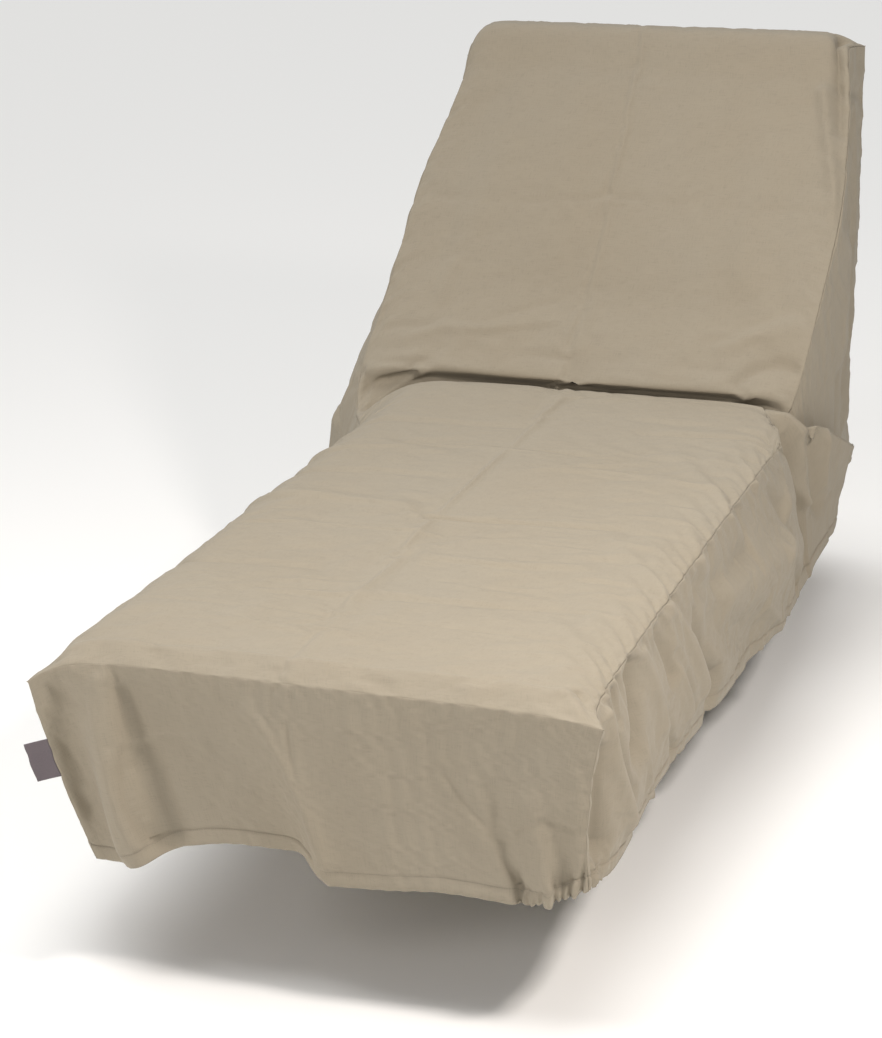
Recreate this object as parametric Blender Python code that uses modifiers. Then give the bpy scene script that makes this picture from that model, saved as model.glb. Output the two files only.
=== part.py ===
"""Lounge chair cover: fitted cloth, in the shape in which it hangs when it is in use.

Units are metres, +Z is up, +Y runs from the foot end to the head end and +X is the right-hand
side. The tables give places on the ground plan: x from the middle, y near the foot end and z
from the ground up. ORIGIN is the point under the level seat cloth that carries the cover, and
the empty that all the pieces hang from moves that point to the world's origin.

Every piece is one panel of cloth. Its outer face is worked out on a grid, as curves (rails)
joined by smooth interpolation, and a Solidify modifier gives it its thickness inwards.
"""
import bpy
import bmesh
import numpy as np

# ---------------------------------------------------------------- driving sizes
CLOTH = 0.002                    # thickness of the cloth
SEAM_GAP = 0.0006                # between the cut edges of two panels that are sewn together
SEAM_STRIP = 0.004               # flat strip on each side of a seam, where the two panels are level
CORNER_STRIP = 0.001             # the same at the corners, where three panels meet
SEAM_FADE = 0.025                # from a seam to where folds have their full rise
ORIGIN = (0.0, 0.66, 0.453)      # underside of the cloth in the middle of the seat

TOP_CELLS_ACROSS = 22
EDGE_SPACING = 0.8               # power that makes the cells across narrower towards the seams
DOWN_FRACTIONS = (0.0, 0.07, 0.16, 0.25, 0.33, 0.41, 0.52, 0.64, 0.76, 0.88, 1.0)
RAIL_FRACTIONS = (0.0, 0.25, 0.41, 0.70, 1.0)    # where tuck, rim and belly lie down a side

LABEL_DROP = 0.051               # height between its upper and lower ends on the slanted seam
LABEL_CELLS = 4
LABEL_REACH = 0.036              # out of the seam
LABEL_THICKNESS = 0.001
LABEL_TOP = 0.323                # height of its upper end above the ground
LABEL_CLEAR = 0.0016             # from the seam line to its edge, which clears the cloth
LABEL_BEND = 0.003               # how far its free end bends outwards

TAUPE = (0.40, 0.35, 0.27)
PLUM_GREY = (0.10, 0.08, 0.09)
ROUGHNESS = 0.85

# ---------------------------------------------------------------- tables
# The top panel, one row for each section from the foot seam over the seat, down into the groove
# in front of the raised back, up the back and over its top to the rear seam. "cells" is the
# number of grid cells up to the next row, mid the middle of the panel, left and right its seams.
# "turn" is the power that says how late the panel turns down to its seams.
TOP_COLUMNS = ("cells", "turn", "mid_y", "mid_z",
               "left_x", "left_y", "left_z", "right_x", "right_y", "right_z")
TOP_SECTIONS = {
    "foot seam":     (2, 8, -0.046, 0.440, -0.400, -0.050, 0.402, 0.380, -0.038, 0.425),
    "foot edge":     (2, 9, -0.012, 0.466, -0.394, 0.010, 0.402, 0.358, 0.010, 0.432),
    "foot of seat":  (3, 11, 0.060, 0.463, -0.391, 0.080, 0.400, 0.352, 0.065, 0.434),
    "low seat":      (7, 11, 0.300, 0.457, -0.390, 0.300, 0.398, 0.346, 0.300, 0.435),
    "middle seat":   (7, 11, 0.720, 0.454, -0.389, 0.720, 0.396, 0.336, 0.720, 0.435),
    "high seat":     (4, 11, 1.100, 0.449, -0.390, 1.050, 0.394, 0.331, 1.060, 0.434),
    "seat end":      (4, 11, 1.272, 0.449, -0.402, 1.170, 0.392, 0.332, 1.138, 0.434),
    "groove lip":    (2, 11, 1.310, 0.446, -0.424, 1.220, 0.388, 0.270, 1.286, 0.447),
    "groove bottom": (2, 11, 1.340, 0.400, -0.444, 1.262, 0.386, 0.274, 1.310, 0.412),
    "roll under":    (1, 11, 1.340, 0.438, -0.454, 1.292, 0.392, 0.286, 1.318, 0.424),
    "roll nose":     (2, 11, 1.332, 0.458, -0.462, 1.320, 0.420, 0.300, 1.330, 0.440),
    "roll top":      (3, 12, 1.354, 0.492, -0.462, 1.350, 0.456, 0.314, 1.355, 0.474),
    "low back":      (4, 14, 1.438, 0.586, -0.446, 1.428, 0.562, 0.324, 1.425, 0.565),
    "middle back":   (4, 16, 1.556, 0.742, -0.428, 1.556, 0.728, 0.336, 1.555, 0.728),
    "high back":     (3, 18, 1.690, 0.918, -0.389, 1.692, 0.898, 0.318, 1.694, 0.900),
    "back edge":     (2, 22, 1.751, 0.992, -0.384, 1.752, 0.958, 0.302, 1.762, 0.968),
    "behind edge":   (2, 20, 1.790, 0.990, -0.402, 1.800, 0.938, 0.303, 1.806, 0.964),
    "rear seam":     (0, 12, 1.862, 0.962, -0.436, 1.860, 0.912, 0.309, 1.860, 0.957),
}

# The side panels, one row for each place along their seam with the top. Going down from the
# seam, tuck is the bottom of the fold behind the rim, rim the edge of the flap that the loose
# cloth makes beside the groove, belly the hanging part and hem the lower edge.
# drop is measured down from the seam, z above the ground. A shift is how far the rim or hem
# lies nearer the head end than the seam above it.
SIDE_COLUMNS = ("seam_y", "tuck_x", "tuck_drop", "rim_x", "rim_drop",
                "rim_shift", "belly_x", "belly_z", "hem_x", "hem_z", "hem_shift")
RIGHT_SIDE = {
    "foot corner":  (-0.038, 0.368, 0.045, 0.363, 0.090, 0.000, 0.358, 0.270, 0.360, 0.205, 0.000),
    "foot":         (0.065, 0.362, 0.048, 0.368, 0.085, 0.000, 0.374, 0.260, 0.366, 0.196, 0.000),
    "low seat":     (0.300, 0.352, 0.048, 0.358, 0.080, 0.000, 0.366, 0.270, 0.356, 0.204, 0.000),
    "middle seat":  (0.720, 0.344, 0.048, 0.352, 0.080, 0.000, 0.364, 0.260, 0.352, 0.176, 0.000),
    "high seat":    (1.060, 0.342, 0.048, 0.352, 0.090, 0.030, 0.372, 0.255, 0.362, 0.168, 0.000),
    "pleat edge":   (1.138, 0.344, 0.040, 0.354, 0.112, 0.062, 0.368, 0.250, 0.362, 0.166, 0.040),
    "pleat hollow": (1.176, 0.326, 0.034, 0.332, 0.118, 0.040, 0.350, 0.250, 0.360, 0.168, 0.024),
    "rim start":    (1.286, 0.310, 0.006, 0.340, 0.030, 0.008, 0.344, 0.262, 0.358, 0.172, -0.020),
    "behind rim":   (1.320, 0.318, 0.022, 0.352, 0.012, 0.004, 0.348, 0.270, 0.358, 0.178, -0.036),
    "hinge":        (1.355, 0.326, 0.086, 0.364, 0.074, 0.000, 0.352, 0.272, 0.358, 0.182, -0.044),
    "flap ridge":   (1.420, 0.336, 0.216, 0.376, 0.192, 0.000, 0.362, 0.275, 0.360, 0.188, -0.050),
    "flap corner":  (1.490, 0.346, 0.340, 0.383, 0.312, 0.000, 0.366, 0.270, 0.360, 0.194, -0.060),
    "behind flap":  (1.600, 0.334, 0.490, 0.340, 0.500, 0.000, 0.336, 0.260, 0.338, 0.190, -0.030),
    "rear side":    (1.740, 0.312, 0.420, 0.308, 0.610, 0.000, 0.312, 0.280, 0.318, 0.190, 0.000),
    "rear corner":  (1.860, 0.308, 0.330, 0.296, 0.480, 0.000, 0.294, 0.350, 0.302, 0.190, 0.000),
}
LEFT_SIDE = {
    "foot corner":  (-0.050, -0.386, 0.050, -0.374, 0.090, 0.000, -0.352, 0.250, -0.314, 0.160, 0.000),
    "foot":         (0.080, -0.396, 0.044, -0.402, 0.080, 0.000, -0.404, 0.250, -0.398, 0.186, 0.000),
    "low seat":     (0.300, -0.396, 0.040, -0.401, 0.075, 0.000, -0.405, 0.260, -0.398, 0.196, 0.000),
    "middle seat":  (0.720, -0.394, 0.040, -0.398, 0.075, 0.000, -0.403, 0.255, -0.396, 0.184, 0.000),
    "high seat":    (1.050, -0.398, 0.040, -0.404, 0.075, 0.000, -0.412, 0.250, -0.408, 0.176, 0.000),
    "seat end":     (1.170, -0.412, 0.040, -0.420, 0.075, 0.000, -0.432, 0.250, -0.428, 0.176, 0.000),
    "pocket":       (1.262, -0.456, 0.038, -0.466, 0.070, 0.000, -0.476, 0.250, -0.462, 0.180, -0.010),
    "hinge":        (1.350, -0.498, 0.060, -0.512, 0.090, 0.000, -0.522, 0.260, -0.492, 0.184, -0.020),
    "flap ridge":   (1.428, -0.496, 0.110, -0.520, 0.190, 0.000, -0.530, 0.270, -0.500, 0.188, -0.030),
    "flap corner":  (1.510, -0.470, 0.180, -0.502, 0.330, 0.000, -0.516, 0.270, -0.492, 0.190, -0.030),
    "behind flap":  (1.600, -0.446, 0.260, -0.472, 0.440, 0.000, -0.492, 0.270, -0.474, 0.190, -0.020),
    "rear side":    (1.740, -0.412, 0.300, -0.430, 0.500, 0.000, -0.452, 0.280, -0.450, 0.190, 0.000),
    "rear corner":  (1.860, -0.434, 0.300, -0.430, 0.440, 0.000, -0.432, 0.330, -0.440, 0.190, 0.000),
}

# What the foot and back panels do between their corners, one row for each place across, from
# 0 at the left corner to 1 at the right one. out moves the cloth outwards, halfway
# down and at the hem, and hem_rise lifts the hem above the straight line between the corners.
END_COLUMNS = ("across", "half_out", "hem_out", "hem_rise")
FOOT_PANEL = {
    "left corner":   (0.00, 0.000, 0.000, 0.000),
    "left hollow":   (0.05, -0.006, -0.004, -0.004),
    "left ridge":    (0.11, 0.018, 0.028, 0.006),
    "beside ridge":  (0.19, -0.010, 0.002, 0.026),
    "left middle":   (0.29, -0.010, -0.004, 0.032),
    "middle":        (0.41, 0.000, -0.004, 0.024),
    "middle fold":   (0.50, 0.004, 0.006, -0.014),
    "right middle":  (0.70, 0.004, 0.010, -0.010),
    "gathers":       (0.90, 0.004, 0.004, -0.024),
    "right corner":  (1.00, 0.000, 0.000, 0.000),
}
BACK_PANEL = {
    "left corner":   (0.00, 0.000, 0.000, 0.000),
    "left fold":     (0.16, 0.012, 0.030, -0.006),
    "left middle":   (0.34, -0.006, 0.002, 0.004),
    "middle":        (0.52, 0.004, 0.026, -0.004),
    "right middle":  (0.68, -0.006, 0.002, 0.004),
    "right fold":    (0.85, 0.010, 0.024, -0.006),
    "right corner":  (1.00, 0.000, 0.000, 0.000),
}

# Folds that show from a step away, one row each: a line over the panel from one point to
# another, the distance to each side over which the fold dies out, and its rise out of the
# cloth, which is negative for a trough. On the top a point is (x, way along the middle of the
# panel from the foot seam), on the sides (y, z) and on the foot panel (x, z).
FOLD_COLUMNS = ("from_a", "from_b", "to_a", "to_b", "spread", "rise")
TOP_FOLDS = {
    "left end of groove":    (-0.345, 1.493, -0.440, 1.476, 0.024, -0.014),
    "above left end":        (-0.360, 1.532, -0.430, 1.540, 0.022, 0.006),
    "right end of groove":   (0.214, 1.506, 0.296, 1.570, 0.022, -0.014),
    "right edge of back":    (0.282, 2.040, 0.322, 1.816, 0.020, 0.010),
    "right top corner":      (0.284, 2.160, 0.300, 2.040, 0.018, -0.010),
    "left of back":          (-0.330, 2.000, -0.360, 1.720, 0.040, -0.006),
    "hollow in low back":    (-0.200, 1.660, 0.180, 1.650, 0.060, -0.006),
    "foot end of seat":      (-0.300, 0.080, 0.250, 0.090, 0.050, -0.004),
    "low seat hollow":       (-0.250, 0.420, 0.200, 0.360, 0.070, -0.005),
    "high seat swell":       (-0.200, 0.900, 0.200, 0.860, 0.080, 0.004),
}
RIGHT_FOLDS = {
    "behind corner seam":    (0.002, 0.370, 0.004, 0.250, 0.022, -0.014),
    "ridge from corner":     (0.034, 0.400, 0.090, 0.230, 0.020, 0.010),
    "low hollow":            (0.205, 0.400, 0.190, 0.330, 0.024, -0.010),
    "foot third hollow":     (0.330, 0.390, 0.380, 0.260, 0.040, -0.008),
    "steep hollow":          (0.470, 0.375, 0.640, 0.230, 0.045, -0.014),
    "long hollow":           (0.620, 0.330, 0.860, 0.215, 0.045, -0.010),
    "long swell":            (0.700, 0.320, 1.020, 0.290, 0.050, 0.010),
    "hollow before pleat":   (1.040, 0.380, 1.080, 0.300, 0.030, -0.008),
    "near flap ridge":       (1.262, 0.400, 1.290, 0.300, 0.018, 0.010),
    "far flap ridge":        (1.372, 0.375, 1.380, 0.310, 0.020, 0.010),
    "between flap ridges":   (1.330, 0.370, 1.340, 0.290, 0.022, -0.008),
    "hollow under rear edge": (1.700, 0.930, 1.680, 0.830, 0.030, -0.010),
    "gusset hollow":         (1.670, 0.820, 1.650, 0.700, 0.034, -0.012),
    "gusset swell":          (1.600, 0.640, 1.580, 0.500, 0.050, 0.008),
}
LEFT_FOLDS = {
    "low hollow":            (0.240, 0.360, 0.280, 0.240, 0.040, -0.008),
    "middle hollow":         (0.560, 0.360, 0.660, 0.230, 0.050, -0.010),
    "middle swell":          (0.780, 0.320, 0.980, 0.280, 0.050, 0.008),
    "flap ridge":            (1.360, 0.420, 1.350, 0.230, 0.035, 0.010),
    "behind ridge":          (1.470, 0.520, 1.480, 0.250, 0.045, -0.010),
    "gusset swell":          (1.620, 0.720, 1.600, 0.400, 0.050, 0.008),
}
FOOT_FOLDS = {
    "left corner hollow":    (-0.356, 0.380, -0.340, 0.240, 0.020, -0.010),
    "beside ridge":          (-0.266, 0.420, -0.232, 0.220, 0.020, -0.010),
    "under ridge":           (-0.224, 0.270, -0.180, 0.200, 0.022, -0.010),
    "middle ridge":          (-0.090, 0.390, 0.000, 0.200, 0.034, 0.007),
    "left of gathers":       (0.262, 0.330, 0.276, 0.190, 0.020, -0.008),
    "gathered ridge":        (0.304, 0.310, 0.314, 0.190, 0.020, 0.009),
    "right of gathers":      (0.340, 0.330, 0.342, 0.210, 0.016, -0.006),
}


# ---------------------------------------------------------------- curves
def column(table, columns, name):
    """One named column of a table, as an array."""
    return np.array([row[columns.index(name)] for row in table.values()], dtype=float)


def smooth(known_at, known, wanted_at):
    """Smooth curve through known values that never swings past them (monotone cubic).

    The slope at each value is the weighted harmonic mean of the slopes on its two sides, or
    zero where they point opposite ways, and a cubic Hermite curve joins the values.
    """
    step = np.diff(known_at)
    rise = np.diff(known) / step
    before, after = rise[:-1], rise[1:]
    w_before, w_after = 2 * step[1:] + step[:-1], step[1:] + 2 * step[:-1]
    same_way = before * after > 0
    safe_before, safe_after = np.where(same_way, before, 1.0), np.where(same_way, after, 1.0)
    mean = (w_before + w_after) / (w_before / safe_before + w_after / safe_after)
    slope = np.concatenate(([rise[0]], np.where(same_way, mean, 0.0), [rise[-1]]))
    i = np.clip(np.searchsorted(known_at, wanted_at, side="right") - 1, 0, len(step) - 1)
    h = step[i]
    t = (wanted_at - known_at[i]) / h
    return ((1 + 2 * t) * (1 - t) ** 2 * known[i] + t * (1 - t) ** 2 * h * slope[i]
            + t * t * (3 - 2 * t) * known[i + 1] + t * t * (t - 1) * h * slope[i + 1])


def unit(vectors):
    """Vectors along the last axis, made one long."""
    return vectors / np.linalg.norm(vectors, axis=-1, keepdims=True)


# ---------------------------------------------------------------- outer faces, as grids of points
def top_grid():
    """Grid [along, across] of the top: seat, groove, back and its top edge in one piece.

    Along the cover the three rails run smoothly through the sections. Across it, a point goes
    from the middle rail to the side rail by a power, turn, of its place t, from -1 at the
    left seam to 1 at the right one, so the panel is level and turns down late at its edges.
    The second result says how far along the middle rail each row of the grid is.
    """
    col = {name: column(TOP_SECTIONS, TOP_COLUMNS, name) for name in TOP_COLUMNS}
    chord = np.hypot(np.diff(col["mid_y"]), np.diff(col["mid_z"]))
    section_at = np.concatenate(([0.0], np.cumsum(chord)))
    places = [np.linspace(section_at[i], section_at[i + 1], int(cells), endpoint=False)
              for i, cells in enumerate(col["cells"][:-1])]
    along = np.concatenate(places + [section_at[-1:]])
    rail = {name: smooth(section_at, col[name], along)[:, None] for name in TOP_COLUMNS[1:]}
    t = np.linspace(-1.0, 1.0, TOP_CELLS_ACROSS + 1)
    t = np.sign(t) * np.abs(t) ** EDGE_SPACING
    right_share, turn = (1 + t) / 2, np.abs(t) ** rail["turn"]
    x = rail["left_x"] * (1 - right_share) + rail["right_x"] * right_share
    edge_y = np.where(t < 0, rail["left_y"], rail["right_y"])
    edge_z = np.where(t < 0, rail["left_z"], rail["right_z"])
    y = rail["mid_y"] * (1 - turn) + edge_y * turn
    z = rail["mid_z"] * (1 - turn) + edge_z * turn
    return np.stack([x, y, z], axis=2), along


def side_grid(table, seam):
    """Grid [along, down] of a side panel, hanging from its seam (points of the top's edge).

    Each column of the grid runs smoothly through seam, tuck, rim, belly and hem, whose places
    down the panel are RAIL_FRACTIONS.
    """
    col = {name: column(table, SIDE_COLUMNS, name) for name in SIDE_COLUMNS}
    y = seam[:, 1]
    at = {name: smooth(col["seam_y"], col[name], y) for name in SIDE_COLUMNS[1:]}
    rails_x = [seam[:, 0], at["tuck_x"], at["rim_x"], at["belly_x"], at["hem_x"]]
    rails_z = [seam[:, 2], seam[:, 2] - at["tuck_drop"], seam[:, 2] - at["rim_drop"],
               at["belly_z"], at["hem_z"]]
    shifts = [np.zeros_like(y), at["rim_shift"], at["hem_shift"]]
    down = np.array(DOWN_FRACTIONS)
    rails_at = np.array(RAIL_FRACTIONS)
    x = np.array([smooth(rails_at, np.array(values), down) for values in zip(*rails_x)])
    z = np.array([smooth(rails_at, np.array(values), down) for values in zip(*rails_z)])
    shift = np.array([smooth(rails_at[[0, 2, 4]], np.array(values), down) for values in zip(*shifts)])
    return np.stack([x, y[:, None] + shift, z], axis=2)


def end_grid(table, seam, left, right, away):
    """Grid [across, down] of the foot or back panel, between the corner columns of the sides.

    It starts from straight rows between the corners. The seam's own shape fades out towards
    the hem and hem_rise comes in, and the cloth moves outwards along y, smoothly from nothing
    at the seam to half_out halfway down and hem_out at the hem.
    """
    col = {name: column(table, END_COLUMNS, name) for name in END_COLUMNS}
    across = (seam[:, 0] - seam[0, 0]) / (seam[-1, 0] - seam[0, 0])
    at = {name: smooth(col["across"], col[name], across)[:, None] for name in END_COLUMNS[1:]}
    share, down = across[:, None, None], np.array(DOWN_FRACTIONS)
    grid = left[None] * (1 - share) + right[None] * share
    grid += (seam[:, None] - grid[:, :1]) * (1 - down)[:, None]
    grid[..., 2] += at["hem_rise"] * down
    half, hem = 4 * down * (1 - down), down * (2 * down - 1)
    grid[..., 1] += away * (at["half_out"] * half + at["hem_out"] * hem)
    return grid


def label_grid(corner):
    """Grid [down, out] of the tab that is sewn into the left corner seam of the foot end.

    Its rows start on the seam, and it reaches square out from the seam in the plane of the
    foot panel, bending a little away from it.
    """
    heights = LABEL_TOP - np.linspace(0, LABEL_DROP, LABEL_CELLS + 1)
    on_seam = np.stack([np.interp(-heights, -corner[:, 2], corner[:, k]) for k in range(3)], axis=1)
    downwards = unit(on_seam[-1] - on_seam[0])
    out = unit(np.cross((0.0, 1.0, 0.0), downwards))
    reach = np.linspace(0, LABEL_REACH, LABEL_CELLS + 1)[None, :, None]
    bend = LABEL_BEND * (reach / LABEL_REACH) ** 2 * np.array((0.0, -1.0, 0.0))
    return on_seam[:, None] + out * (LABEL_CLEAR + reach) + bend


# ---------------------------------------------------------------- folds
def distances(points, axis):
    """How far each grid point is from the first and from the last edge along one grid axis."""
    steps = np.linalg.norm(np.diff(points, axis=axis), axis=2)
    start = np.zeros_like(np.take(steps, [0], axis=axis))
    from_first = np.concatenate((start, np.cumsum(steps, axis=axis)), axis=axis)
    return from_first, np.take(from_first, [-1], axis=axis) - from_first


def seam_fade(points, free_hem):
    """Weight that rises smoothly from 0 on the seams to 1 at SEAM_FADE away from them."""
    edges = [*distances(points, 0), *distances(points, 1)]
    if free_hem:
        edges.pop()
    share = np.clip(np.minimum.reduce(edges) / SEAM_FADE, 0, 1)
    return share * share * (3 - 2 * share)


def outward(points, turned):
    """Unit normals of a grid, out of the cover."""
    normals = unit(np.cross(np.gradient(points, axis=1), np.gradient(points, axis=0)))
    return -normals if turned else normals


def folded(points, a, b, folds, turned=False, free_hem=True):
    """Grid with its folds: along each fold's line the cloth rises and dies out to both sides.

    The rise at a distance d from the line is rise * exp(-(d / spread)^2), all folds add up,
    and the sum moves each point along its normal.
    """
    relief = np.zeros(points.shape[:2])
    for row in folds.values():
        fold = dict(zip(FOLD_COLUMNS, row))
        line_a, line_b = fold["to_a"] - fold["from_a"], fold["to_b"] - fold["from_b"]
        off_a, off_b = a - fold["from_a"], b - fold["from_b"]
        share = np.clip((off_a * line_a + off_b * line_b) / (line_a ** 2 + line_b ** 2), 0, 1)
        away = np.hypot(off_a - share * line_a, off_b - share * line_b)
        relief += fold["rise"] * np.exp(-(away / fold["spread"]) ** 2)
    return points + outward(points, turned) * (relief * seam_fade(points, free_hem))[..., None]


# ---------------------------------------------------------------- seams
def across_seam(inner, seam, other_inner):
    """Unit directions across a seam into the first panel, shared by both of its panels."""
    return unit(unit(inner - seam) - unit(other_inner - seam))


def with_strips(grid, first=None, last=None):
    """Grid with a narrow flat strip at its first or last rows, half a gap away from the seam.

    first and last are the directions across those seams. The edge row is doubled, and both
    copies move along the direction, the outer by half the gap and the inner past the strip.
    """
    near, far = np.full((2, grid.shape[1], 1), SEAM_GAP / 2)
    far += SEAM_STRIP
    far[[0, -1]] = SEAM_GAP / 2 + CORNER_STRIP
    rows = list(grid)
    if first is not None:
        rows[0:1] = [rows[0] + first * near, rows[0] + first * far]
    if last is not None:
        rows[-1:] = [rows[-1] + last * far, rows[-1] + last * near]
    return np.array(rows)


def seamed(grid, first, last, left, right=None):
    """Grid with strips at the first and last rows, then at the left and right columns."""
    strips = with_strips(grid, first, last)
    doubled = [np.concatenate((side[:1], side, side[-1:])) if side is not None else None
               for side in (left, right)]
    return with_strips(strips.swapaxes(0, 1), *doubled).swapaxes(0, 1)


# ---------------------------------------------------------------- solids
def material(name, colour):
    """Plain fabric finish."""
    finish = bpy.data.materials.new(name)
    finish.use_nodes = True
    shader = finish.node_tree.nodes["Principled BSDF"]
    shader.inputs["Base Color"].default_value = (*colour, 1.0)
    shader.inputs["Roughness"].default_value = ROUGHNESS
    return finish


def cloth_sheet(name, grid, colour, turned=False, thickness=CLOTH, inwards=1.0):
    """A grid primitive laid on the points of an outer face, given its thickness by Solidify.

    turned is for a grid whose faces would point into the cover. inwards is 1 where all of the
    thickness lies inside the grid, and 0 where the grid is in its middle.
    """
    rows, columns = grid.shape[:2]
    bm = bmesh.new()
    bmesh.ops.create_grid(bm, x_segments=columns - 1, y_segments=rows - 1, size=1.0)
    for vertex, point in zip(bm.verts, grid.reshape(-1, 3)):
        vertex.co = point
    if turned:
        bmesh.ops.reverse_faces(bm, faces=bm.faces)
    mesh = bpy.data.meshes.new(name)
    bm.to_mesh(mesh)
    bm.free()
    mesh.shade_smooth()
    mesh.materials.append(material(name + "_cloth", colour))
    sheet = bpy.data.objects.new(name, mesh)
    wall = sheet.modifiers.new("thickness", "SOLIDIFY")
    wall.thickness = thickness
    wall.offset = -inwards
    return sheet


def cover_panels():
    """The panels' outer faces with their seams drawn apart, by name, and the left corner seam."""
    top, along = top_grid()
    right = side_grid(RIGHT_SIDE, top[:, -1])
    left = side_grid(LEFT_SIDE, top[:, 0])
    foot = end_grid(FOOT_PANEL, top[0], left[0], right[0], away=-1)
    back = end_grid(BACK_PANEL, top[-1], left[-1], right[-1], away=1)

    top = folded(top, top[..., 0], along[:, None], TOP_FOLDS, free_hem=False)
    right = folded(right, right[..., 1], right[..., 2], RIGHT_FOLDS)
    left = folded(left, left[..., 1], left[..., 2], LEFT_FOLDS, turned=True)
    foot = folded(foot, foot[..., 0], foot[..., 2], FOOT_FOLDS)

    top_right = across_seam(top[:, -2], top[:, -1], right[:, 1])
    top_left = across_seam(top[:, 1], top[:, 0], left[:, 1])
    top_foot = across_seam(top[1], top[0], foot[:, 1])
    top_back = across_seam(top[-2], top[-1], back[:, 1])
    foot_right = across_seam(foot[-2], right[0], right[1])
    foot_left = across_seam(foot[1], left[0], left[1])
    back_right = across_seam(back[-2], right[-1], right[-2])
    back_left = across_seam(back[1], left[-1], left[-2])
    panels = {
        "top_panel": seamed(top, top_foot, top_back, top_left, top_right),
        "side_panel_right": seamed(right, -foot_right, -back_right, -top_right),
        "side_panel_left": seamed(left, -foot_left, -back_left, -top_left),
        "foot_panel": seamed(foot, foot_left, foot_right, -top_foot),
        "back_panel": seamed(back, back_left, back_right, -top_back),
    }
    return panels, left[0]


def main():
    for old in list(bpy.data.objects):
        bpy.data.objects.remove(old, do_unlink=True)
    collection = bpy.data.collections.new("lounge_chair_cover")
    bpy.context.scene.collection.children.link(collection)
    frame = bpy.data.objects.new("cover_frame", None)
    frame.location = [-value for value in ORIGIN]

    panels, left_corner = cover_panels()
    sheets = [cloth_sheet(name, grid, TAUPE, turned=name in ("side_panel_left", "back_panel"))
              for name, grid in panels.items()]
    sheets.append(cloth_sheet("label_tab", label_grid(left_corner), PLUM_GREY,
                              thickness=LABEL_THICKNESS, inwards=0.0))
    for sheet in sheets:
        sheet.parent = frame
    for placed in [frame, *sheets]:
        collection.objects.link(placed)


main()
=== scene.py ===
# %% [markdown]
# This is a lounge chair cover. The real one is five panels of thin woven polyester, sewn edge
# to edge: one long panel over the level seat and the raised back, two side panels, and a panel
# at each end. A small ribbon tab is caught in one corner seam. Everything here is cloth, so the
# whole lesson is about one thing: how a flat sheet gets the shape, the folds and the surface
# that show how it hangs.
#
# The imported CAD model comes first. Its panels give the true size, and each one stays in the
# file for the physics while a finer sheet stands for it in the picture.

import bpy
import numpy as np
from mathutils import Matrix


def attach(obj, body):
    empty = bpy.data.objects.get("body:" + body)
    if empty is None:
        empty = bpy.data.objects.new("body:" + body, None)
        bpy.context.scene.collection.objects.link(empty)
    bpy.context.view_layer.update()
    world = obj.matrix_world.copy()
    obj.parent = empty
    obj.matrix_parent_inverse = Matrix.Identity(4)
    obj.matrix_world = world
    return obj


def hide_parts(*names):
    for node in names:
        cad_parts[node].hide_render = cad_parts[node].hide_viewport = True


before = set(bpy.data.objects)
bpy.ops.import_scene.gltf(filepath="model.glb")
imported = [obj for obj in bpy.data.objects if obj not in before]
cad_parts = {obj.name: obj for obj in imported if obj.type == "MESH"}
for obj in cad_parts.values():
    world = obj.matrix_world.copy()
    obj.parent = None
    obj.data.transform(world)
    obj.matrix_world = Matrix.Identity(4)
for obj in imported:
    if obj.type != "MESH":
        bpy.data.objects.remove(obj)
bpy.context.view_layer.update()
print("packed nodes:", ", ".join(sorted(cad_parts)))

# %% [markdown]
# The camera stands well back with a long lens, a little above the cover and to its right.
# Three angles turn it. A camera in Blender looks along its own -Z, so its matrix has the right,
# up and backward directions as columns.

# %% Camera
AZIMUTH, ELEVATION, ROLL = np.radians((19.68, 18.68, -1.05))
CAMERA_PLACE = (1.2546, -3.7194, 1.3085)
LENS_MM = 97.0                   # on a sensor 36 mm along the longer side of the picture
SEES_UP_TO = 60.0

forward = np.array((-np.sin(AZIMUTH) * np.cos(ELEVATION),
                    np.cos(AZIMUTH) * np.cos(ELEVATION), -np.sin(ELEVATION)))
level_right = np.array((np.cos(AZIMUTH), np.sin(AZIMUTH), 0.0))
level_up = np.cross(level_right, forward)
pose = np.eye(4)
pose[:3, 0] = np.cos(ROLL) * level_right + np.sin(ROLL) * level_up
pose[:3, 1] = np.cos(ROLL) * level_up - np.sin(ROLL) * level_right
pose[:3, 2] = -forward
pose[:3, 3] = CAMERA_PLACE

camera = bpy.data.objects.new("camera", bpy.data.cameras.new("camera"))
camera.data.lens = LENS_MM
camera.data.clip_end = SEES_UP_TO
camera.matrix_world = Matrix(pose.tolist())
bpy.context.scene.collection.objects.link(camera)
bpy.context.scene.camera = camera
print("camera at", CAMERA_PLACE)

# %% [markdown]
# The cover stands in a white studio. A wide sun lamp from above lights the level cloth and keeps
# the floor evenly white, and a soft one over the foot end makes the light fall off towards the
# raised back. A strong one close on the right draws the folds of the side panel, one on the
# front left those of the foot panel, and a large one in front fills their shadows. The lower
# lamps are a little warmer than the ones above.

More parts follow.
